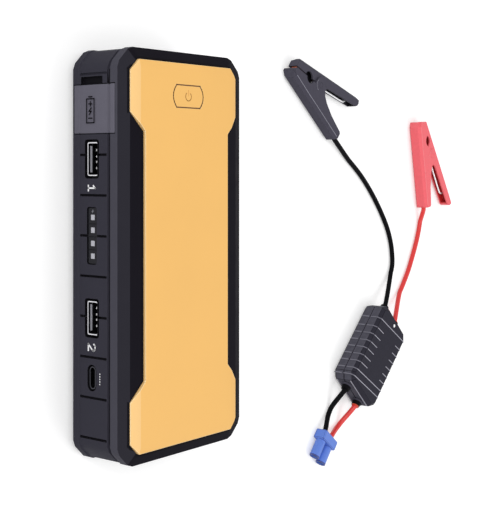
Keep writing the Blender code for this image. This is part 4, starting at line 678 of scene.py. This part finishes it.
def make_button_mark():
    """A power sign on the button, and painted shade in the groove round the button."""
    top = lie((0.0, BUTTON_Y, PLATE_TOP), *FRONT)
    sign = [arc((0.0, 0.0), 1.75, 125, 415, 20), [(0.0, 0.3), (0.0, 2.5)]]
    relief("button_mark", top, bars(sign, 0.32), -0.03, 0.02, BUTTON_MARK, "power_button")
    half_width, half_height, bow = 9.15, 4.55, 2.0
    points = []
    steps = 8
    for side in (1, -1):
        for step in range(steps + 1):
            t = -1 + 2 * step / steps
            points.append((side * (half_width - bow * t * t), side * t * half_height))
    points.append(points[0])
    # A dark ring sunk in the gap round the button: painted shade.
    relief("button_groove_shade", top, bars([points], 0.5), -0.5, 0.01, PLATE_GROOVE_SHADE, "pack")


def border_height(x, y):
    """How high the bumper's front border is at a place, in millimetres."""
    inset = min(PACK_WIDTH / 2 / MM - abs(x), PACK_LENGTH / 2 / MM - abs(y))
    foot, bend, rim = BORDER_PROFILE
    start, end = (foot, bend) if inset < bend[0] else (bend, rim)
    return start[1] + (end[1] - start[1]) * (inset - start[0]) / (end[0] - start[0])


def plate_loop(grow):
    """The plate's waisted outline, this far outside its edge, in millimetres."""
    half, wide, narrow = PLATE_HALF_LENGTH + grow, PLATE_HALF_WIDTH + grow, WAIST_HALF_WIDTH + grow
    corner = PLATE_CORNER + CORNER_GROWTH * grow
    inner_bend, outer_bend = (bend - BEND_GROWTH * grow for bend in WAIST_BENDS)
    quarter = [(narrow, inner_bend), (wide, outer_bend), (wide, half - corner), (wide - corner, half)]
    right = [(x, -y) for x, y in reversed(quarter)] + quarter
    return right + [(-x, y) for x, y in reversed(right)]


def make_plate_line():
    """A dark strip in and beside the gap between the plate and the bumper's border: painted shade."""
    inner, outer, deep, proud = 0.32, 1.25, 0.5, -0.05
    bm = bmesh.new()
    loops = []
    for grow, sunk in ((inner, deep), (inner, proud), (outer, proud), (outer, deep)):
        loops.append([
            bm.verts.new(Vector((x, y, border_height(x, y) - sunk)) * MM) for x, y in plate_loop(grow)])
    for first, second in zip(loops, [*loops[1:], loops[0]]):
        for number in range(len(first)):
            after = (number + 1) % len(first)
            bm.faces.new((first[number], first[after], second[after], second[number]))
    piece("plate_gap_shade", mesh_from("plate_gap_shade", bm), RECESS_SHADE, "pack")


def make_torch_die():
    """The yellow die on the torch's light, behind its lens."""
    die = lie((TORCH[0], TORCH[1], PORT_Z), (-1, 0, 0), (0, 0, 1))
    relief("torch_die", die, blocks([(0.0, 0.0)], 1.6, 1.6), -0.05, 0.35, LED_PHOSPHOR, "pack")


# ---------------------------------------------------------------- details on the lead


def rib(bm, place, x, path, width, height):
    """A low rib over the box, slanted a little; path is (across, up), outwards on its left."""
    points = [Vector(point) for point in path]
    outer = []
    for number, point in enumerate(points):
        before = points[max(number - 1, 0)]
        after = points[min(number + 1, len(points) - 1)]
        along = (after - before).normalized()
        outer.append(point + Vector((-along.y, along.x)) * height)
    profile = [*points, *reversed(outer)]
    rings = []
    for end in (x - width / 2, x + width / 2):
        rings.append([bm.verts.new(place @ (Vector((end - RIB_SLANT * y, y, z)) * MM)) for y, z in profile])
    left, right = rings
    count = len(points)
    for side, flip in ((left, True), (right, False)):
        for number in range(count - 1):
            quad = [side[number], side[number + 1], side[-2 - number], side[-1 - number]]
            bm.faces.new(list(reversed(quad)) if flip else quad)
    for number in range(len(profile)):
        after = (number + 1) % len(profile)
        bm.faces.new((left[number], left[after], right[after], right[number]))


def make_box_ribs():
    """Ribs over the box's top and sides, in light greys that are painted highlights; its middle panel stays
    bare.
    """
    half, edge, high = BOX_WIDTH / 2 / MM, BOX_EDGE / MM, BOX_HEIGHT / MM
    below_seam, above_seam = 6.1, 7.3
    panel_left, panel_right = -6.2, 8.2
    left_wall = [(-half, above_seam), (-half, high - edge), (edge - half, high)]
    right_wall = [(half - edge, high), (half, high - edge), (half, above_seam)]
    short = (13.2, 18.0, 22.8, 27.4, 32.0, 36.4)
    full = (7.4, 41.0, 45.2)
    lines, wraps, lower = bmesh.new(), bmesh.new(), bmesh.new()
    for x in full:
        rib(lines, BOX_FRAME, x, [(edge - half, high), (half - edge, high)], 0.36, 0.2)
    for x in short:
        rib(lines, BOX_FRAME, x, [(edge - half + 0.6, high), (panel_left, high)], 0.32, 0.2)
        rib(lines, BOX_FRAME, x, [(panel_right, high), (half - edge, high)], 0.32, 0.2)
    for x in (*full, *short):
        rib(wraps, BOX_FRAME, x, left_wall, 0.5, 0.25)
        rib(wraps, BOX_FRAME, x, right_wall, 0.5, 0.25)
        rib(lower, BOX_FRAME, x, [(-half, edge), (-half, below_seam)], 0.7, 0.3)
        rib(lower, BOX_FRAME, x, [(half, below_seam), (half, edge)], 0.7, 0.3)
    piece("module_ribs", mesh_from("module_ribs", lines), BOX_RIB_HIGHLIGHT, "pack")
    piece("module_wraps", mesh_from("module_wraps", wraps), BOX_WRAP_HIGHLIGHT, "pack")
    piece("module_low_ribs", mesh_from("module_low_ribs", lower), BOX_WRAP_HIGHLIGHT, "pack")
    end = lie(BOX_FRAME @ Vector((BOX_LENGTH, 0.0, 0.0)), BOX_FRAME.to_3x3() @ Vector((0, 1, 0)), (0, 0, 1))
    bands = [[(-11.0, 10.6), (11.0, 10.6)], [(-11.0, 2.2), (11.0, 2.2)]]
    relief("module_end_ribs", end, bars(bands, 0.36), -0.05, 0.2, BOX_RIB_HIGHLIGHT, "pack")


def make_glands():
    """A collar on each bush, and a coloured ring where a red cord leaves it."""
    collar = [length * MM for length in (2.5, 3.1, 0.35, 1.25)]
    ring = [
        CORD_RADIUS + 0.05 * MM, 1.95 * MM, BOOT_LENGTH - 0.1 * MM, BOOT_LENGTH + 0.5 * MM]
    for name, (x, y, out) in box_exits().items():
        turn = Matrix.Rotation(0.0 if out > 0 else math.pi, 4, "Z")
        place = BOX_FRAME @ Matrix.Translation((x, y, BOX_SPLIT)) @ turn
        ring_solid(f"{name}_collar", place, *collar, BLACK_PLASTIC, "pack", "black_cord_rubber")
        if name.startswith("red"):
            ring_solid(f"{name}_ring", place, *ring, RED_RING, "pack", "red_cord_rubber")


def make_plug_rims():
    """A darker rim at the mouth of each barrel: painted shade."""
    rim = [2.05 * MM, BARREL_RADIUS + 0.04 * MM, PLUG_END - 0.5 * MM, PLUG_END + 0.06 * MM]
    for name, sign in (("black", -1), ("red", 1)):
        place = PLUG_FRAME @ Matrix.Translation((0.0, sign * BARREL_PITCH / 2, PLUG_HALF_HEIGHT))
        ring_solid(f"plug_rim_{name}", place, *rim, BLUE_EDGE_SHADE, "pack", "connector_blue")


def in_clamp(x, y, z):
    """A place in a clamp's own frame: x and y in clamp units, z in millimetres."""
    return Vector((x * CLAMP_UNIT, y * CLAMP_UNIT, z * MM))


def make_springs():
    """A round coil with one arm in each lever; the long arm swings with the moving lever."""
    center = in_clamp(*CLAMP_PIVOT, 0.0)
    radius, wire, half_height = 2.2 * MM, 0.45 * MM, 1.2
    turns, steps, first_turn = 2.5, 20, -100.0
    count = int(turns * steps)
    for color, place in CLAMP_FRAMES.items():
        coil = [in_clamp(51.0, 2.4, -half_height), in_clamp(49.0, 3.6, -half_height)]
        for step in range(count + 1):
            turn = math.radians(first_turn - 360.0 * step / steps)
            height = (2 * half_height * step / count - half_height) * MM
            coil.append(center + Vector((radius * math.cos(turn), radius * math.sin(turn), height)))
        spring = round_curve(
            f"{color}_spring_coil", [place @ point for point in coil], wire, SPRING_STEEL, "pack",
            resolution=3)
        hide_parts(f"{color}_clamp_spring")
        arm = [
            coil[-1], in_clamp(30.6, 16.9, 0.6), in_clamp(51.6, 26.4, 0.0), in_clamp(54.2, 27.7, 0.0),
            in_clamp(55.4, 29.3, 0.0), in_clamp(55.2, 31.6, 0.0)]
        round_curve(
            f"{color}_spring_arm", [place @ point for point in arm], wire, SPRING_STEEL,
            f"{color}_clamp_lever", resolution=3)


def make_clamp_marks():
    """The moulded crease and boss arc on the upper side of each clamp, as thin light strips: painted
    highlights.
    """
    unit = CLAMP_UNIT / MM
    crease = [[(3.0, 1.75), (16.0, 1.6), (30.0, 1.7), (58.0 * unit, 1.6)]]
    curve = arc((CLAMP_PIVOT[0] * unit, CLAMP_PIVOT[1] * unit), 3.55, 175, 262, 8)
    # Each clamp's strips take its light highlight colour.
    for color, line in (("black", BLACK_CREASE_HIGHLIGHT), ("red", RED_CREASE_HIGHLIGHT)):
        top = CLAMP_FRAMES[color] @ Matrix.Translation((0.0, 0.0, CLAMP_WIDTH / 2))
        relief(f"{color}_clamp_crease_highlight", top, bars(crease, 0.28), -0.05, 0.07, line, "pack")
        relief(f"{color}_clamp_arc_highlight", top, bars([curve], 0.26), -0.05, 0.07, line, "pack")


# ---------------------------------------------------------------- CAD pieces: looks, painted light and shade, and eased edges


LOOKS = {
    "bumper_frame": RUBBER, "port_cover": COVER_RUBBER, "back_shell": SHELL_PLASTIC,
    "front_shell": SHELL_PLASTIC, "front_plate": PLATE_PLASTIC, "power_button": PLATE_PLASTIC,
    "power_switch": PORT_PLASTIC, "switch_board": BOARD_GREEN, "jump_socket": CONNECTOR_BLUE,
    "socket_contact_positive": BRASS, "socket_contact_negative": BRASS,
    "usb_a_shell_upper": PORT_METAL, "usb_a_shell_lower": PORT_METAL,
    "usb_a_tongue_upper": PORT_PLASTIC, "usb_a_tongue_lower": PORT_PLASTIC,
    # The USB-C shell takes the port metal's darker copy, painted shade.
    "usb_c_shell": PORT_INSIDE_SHADE, "usb_c_tongue": PORT_PLASTIC, "indicator_window": WINDOW_PLASTIC,
    "main_board": BOARD_GREEN, "battery_cell_1": CELL_WRAP, "battery_cell_2": CELL_WRAP,
    "battery_cell_3": CELL_WRAP, "cell_pad": FOAM, "positive_wire": RED_CORD,
    "negative_wire": BLACK_CORD, "torch_lens": LENS_PLASTIC, "torch_reflector": REFLECTOR_METAL,
    "torch_light": BOARD_GREEN, "module_top_shell": BOX_RUBBER, "module_bottom_shell": BOX_RUBBER,
    "module_board": BOARD_GREEN, "module_light": LED_WHITE, "plug_housing": CONNECTOR_BLUE,
    "plug_contact_positive": BRASS, "plug_contact_negative": BRASS,
    "black_cord": BLACK_CORD, "red_cord": RED_CORD, "black_tail": BLACK_CORD, "red_tail": RED_CORD,
}
CLAMP_LOOKS = {"jaw_base": COPPER, "jaw_lever": COPPER, "spring": STEEL}

# How far each visible CAD piece's edges are eased, in millimetres.
EASED = {
    "bumper_frame": 0.35, "port_cover": 0.4, "back_shell": 0.3, "front_plate": 0.7,
    "power_button": 0.25, "jump_socket": 0.2, "indicator_window": 0.2, "module_top_shell": 0.5,
    "module_bottom_shell": 0.5, "plug_housing": 0.25, "black_clamp_base": 0.4,
    "black_clamp_lever": 0.35, "red_clamp_base": 0.4, "red_clamp_lever": 0.35,
}

# The look of the eased edges, where it isn't the piece's own: a painted highlight on the plate and the
# bumper, painted shade on the box, the plug and the clamps.
EDGE_LOOKS = {
    "front_plate": PLATE_EDGE_HIGHLIGHT, "bumper_frame": RUBBER_EDGE_HIGHLIGHT, "module_top_shell": BOX_EDGE_SHADE,
    "module_bottom_shell": BOX_EDGE_SHADE, "plug_housing": BLUE_EDGE_SHADE, "black_clamp_base": BLACK_EDGE_SHADE,
    "black_clamp_lever": BLACK_EDGE_SHADE, "red_clamp_base": RED_EDGE_SHADE, "red_clamp_lever": RED_EDGE_SHADE,
}


def look_of(node):
    """A CAD piece's own look, by its name."""
    if node in LOOKS:
        return LOOKS[node]
    if node.startswith("shell_screw"):
        return STEEL
    if node.endswith("_boot"):
        return BLACK_CORD
    color, part = node.split("_clamp_")
    return CLAMP_LOOKS.get(part, BLACK_PLASTIC if color == "black" else RED_PLASTIC)


def ease_edges(obj, width, edge_look=None):
    """Rounds a CAD piece's edges with modifiers only, so that its own mesh stays as it is."""
    weld = obj.modifiers.new("weld", "WELD")
    weld.merge_threshold = WELD_REACH
    bevel = obj.modifiers.new("eased_edges", "BEVEL")
    bevel.width = width
    bevel.segments = 2
    bevel.limit_method = "ANGLE"
    bevel.angle_limit = math.radians(EASED_ANGLE)
    bevel.use_clamp_overlap = True
    # The bevel faces take the edge look, which paints a highlight along some pieces' edges and shade along
    # others'.
    if edge_look is not None:
        obj.data.materials.append(edge_look)
        bevel.material = len(obj.data.materials) - 1
    normals = obj.modifiers.new("normals", "WEIGHTED_NORMAL")
    normals.keep_sharp = False


def paint(name, look, wanted):
    """Gives a CAD piece's faces another look where wanted(middle in millimetres, normal) is true: a lighter
    copy as painted light, a darker one as painted shade.
    """
    mesh = NODES[name].data
    mesh.materials.append(look)
    number = len(mesh.materials) - 1
    for face in mesh.polygons:
        if wanted(face.center / MM, face.normal):
            face.material_index = number


# Tests for paint(), for the faces painted with light and shade. Each takes a face's middle in millimetres
# and its normal.


def is_wall(normal):
    return abs(normal.z) < STEEP


def within(spans, place):
    return all(low < value < high for (low, high), value in zip(spans, place))


def in_side_recess(middle, _normal):
    """Between the raised pads on the bumper's long sides; painted dark, as shade."""
    return within(SIDE_RECESS, (abs(middle.x), middle.y, middle.z))


def in_flap_pocket(middle, _normal):
    """Round the jump socket, under the flap; painted dark, as shade."""
    return within(FLAP_POCKET, middle)


def in_long_groove(middle, normal):
    """In the groove between the pads and the ridge; painted darker, as shade."""
    return GROOVE_FOOT <= middle.z <= RIDGE_FOOT and is_wall(normal) and 36.0 < abs(middle.x) < 36.95


def on_ridge(middle, normal):
    """On the ridge round the outside, not on the walls of the plate's opening; painted lighter, as lit."""
    outside = abs(middle.x) > 30.0 or abs(middle.y) > 74.0
    return RIDGE_FOOT < middle.z < BORDER_FOOT and is_wall(normal) and outside


# The front border's top and slopes, painted darker as shade, apart from the slope along the ports.
def on_front_border(middle, normal):
    return middle.z > BORDER_FOOT and normal.z > STEEP


def on_port_side_slope(middle, normal):
    """On the border's outer slope along the ports, which faces the lamp; painted lighter, as lit."""
    return on_front_border(middle, normal) and normal.z <= 0.96 and middle.x < -30.0


# The walls of the plate's opening, painted dark, as shade.
def in_plate_gap(middle, normal):
    return middle.z > BORDER_FOOT and normal.z <= STEEP


def in_port(middle, _normal):
    """Inside a USB-A mouth, behind its rim, where the metal is painted darker as shade."""
    return middle.x > PORT_X / MM + 0.1


def on_shaded_rim(middle, normal):
    """The side of a USB-A mouth's rim that faces the front plate; painted dark, as shade."""
    return not in_port(middle, normal) and middle.z > PORT_Z / MM + 2.35


# The box's walls, painted lighter, as lit.
def on_box_side(_middle, normal):
    return is_wall(normal)


def on_lit_left_margin(_middle, normal):
    """On the plate's margin that leans towards the ports and the lamp; painted lighter, as lit."""
    return normal.x < -0.05


def in_button_hole(middle, normal):
    """On the walls between the button and the plate; painted dark, as shade."""
    return is_wall(normal) and abs(middle.x) < 12 and abs(middle.y - BUTTON_Y / MM) < 8


def inside_clamp(color, part):
    """A test for the faces that line a lever's channel, which are painted darker, as shade."""
    to_clamp = CLAMP_FRAMES[color].inverted()
    half = (CLAMP_WIDTH if part == "base" else LEVER_WIDTH) / 2 / MM
    outwards = -1 if part == "base" else 1
    rim, tip_reach, end_reach = 0.6, 3.0, 45.0

    def wanted(middle, normal):
        place = to_clamp @ (middle * MM) / MM
        facing = to_clamp.to_3x3() @ normal
        on_side = abs(place.z) > half - rim or facing.z * place.z > 0.0001
        on_back = facing.y * outwards > 0.5
        on_tip = facing.x < -0.5 and place.x < tip_reach
        on_end = facing.x > 0.5 and place.x > end_reach
        return not (on_side or on_back or on_tip or on_end)

    return wanted


def dress_cad():
    """Every CAD piece's look, its faces painted with light and shade, and its eased edges."""
    for name, obj in NODES.items():
        obj.data.materials.clear()
        obj.data.materials.append(look_of(name))
    paint("bumper_frame", RUBBER_SHADED, in_long_groove)
    paint("bumper_frame", RUBBER_RIDGE_LIT, on_ridge)
    paint("bumper_frame", RUBBER_SHADED, on_front_border)
    paint("bumper_frame", RUBBER_SLOPE_LIT, on_port_side_slope)
    paint("bumper_frame", RECESS_SHADE, in_plate_gap)
    paint("bumper_frame", RECESS_SHADE, in_side_recess)
    paint("bumper_frame", RECESS_SHADE, in_flap_pocket)
    for name in ("usb_a_shell_upper", "usb_a_shell_lower"):
        paint(name, PORT_INSIDE_SHADE, in_port)
        paint(name, RECESS_SHADE, on_shaded_rim)
    paint("front_plate", PLATE_MARGIN_LIT, on_lit_left_margin)
    paint("front_plate", PLATE_GROOVE_SHADE, in_button_hole)
    paint("power_button", PLATE_GROOVE_SHADE, in_button_hole)
    for color, look in (("black", BLACK_INSIDE_SHADE), ("red", RED_INSIDE_SHADE)):
        for part in ("base", "lever"):
            paint(f"{color}_clamp_{part}", look, inside_clamp(color, part))
    for name in ("module_top_shell", "module_bottom_shell"):
        paint(name, BOX_SIDE_LIT, on_box_side)
    for name, width in EASED.items():
        ease_edges(NODES[name], width * MM, EDGE_LOOKS.get(name))


# ---------------------------------------------------------------- the whole scene


def main():
    bpy.context.scene.view_settings.view_transform = "Standard"
    make_camera()
    make_world()
    make_floor()
    for name, lamp in LAMPS.items():
        area_light(name, *lamp)
    make_cords()
    make_side_marks()
    make_window_lights()
    make_flap_mark()
    make_button_mark()
    make_plate_line()
    make_torch_die()
    make_box_ribs()
    make_glands()
    make_plug_rims()
    make_springs()
    make_clamp_marks()
    dress_cad()


main()

bpy.context.view_layer.update()
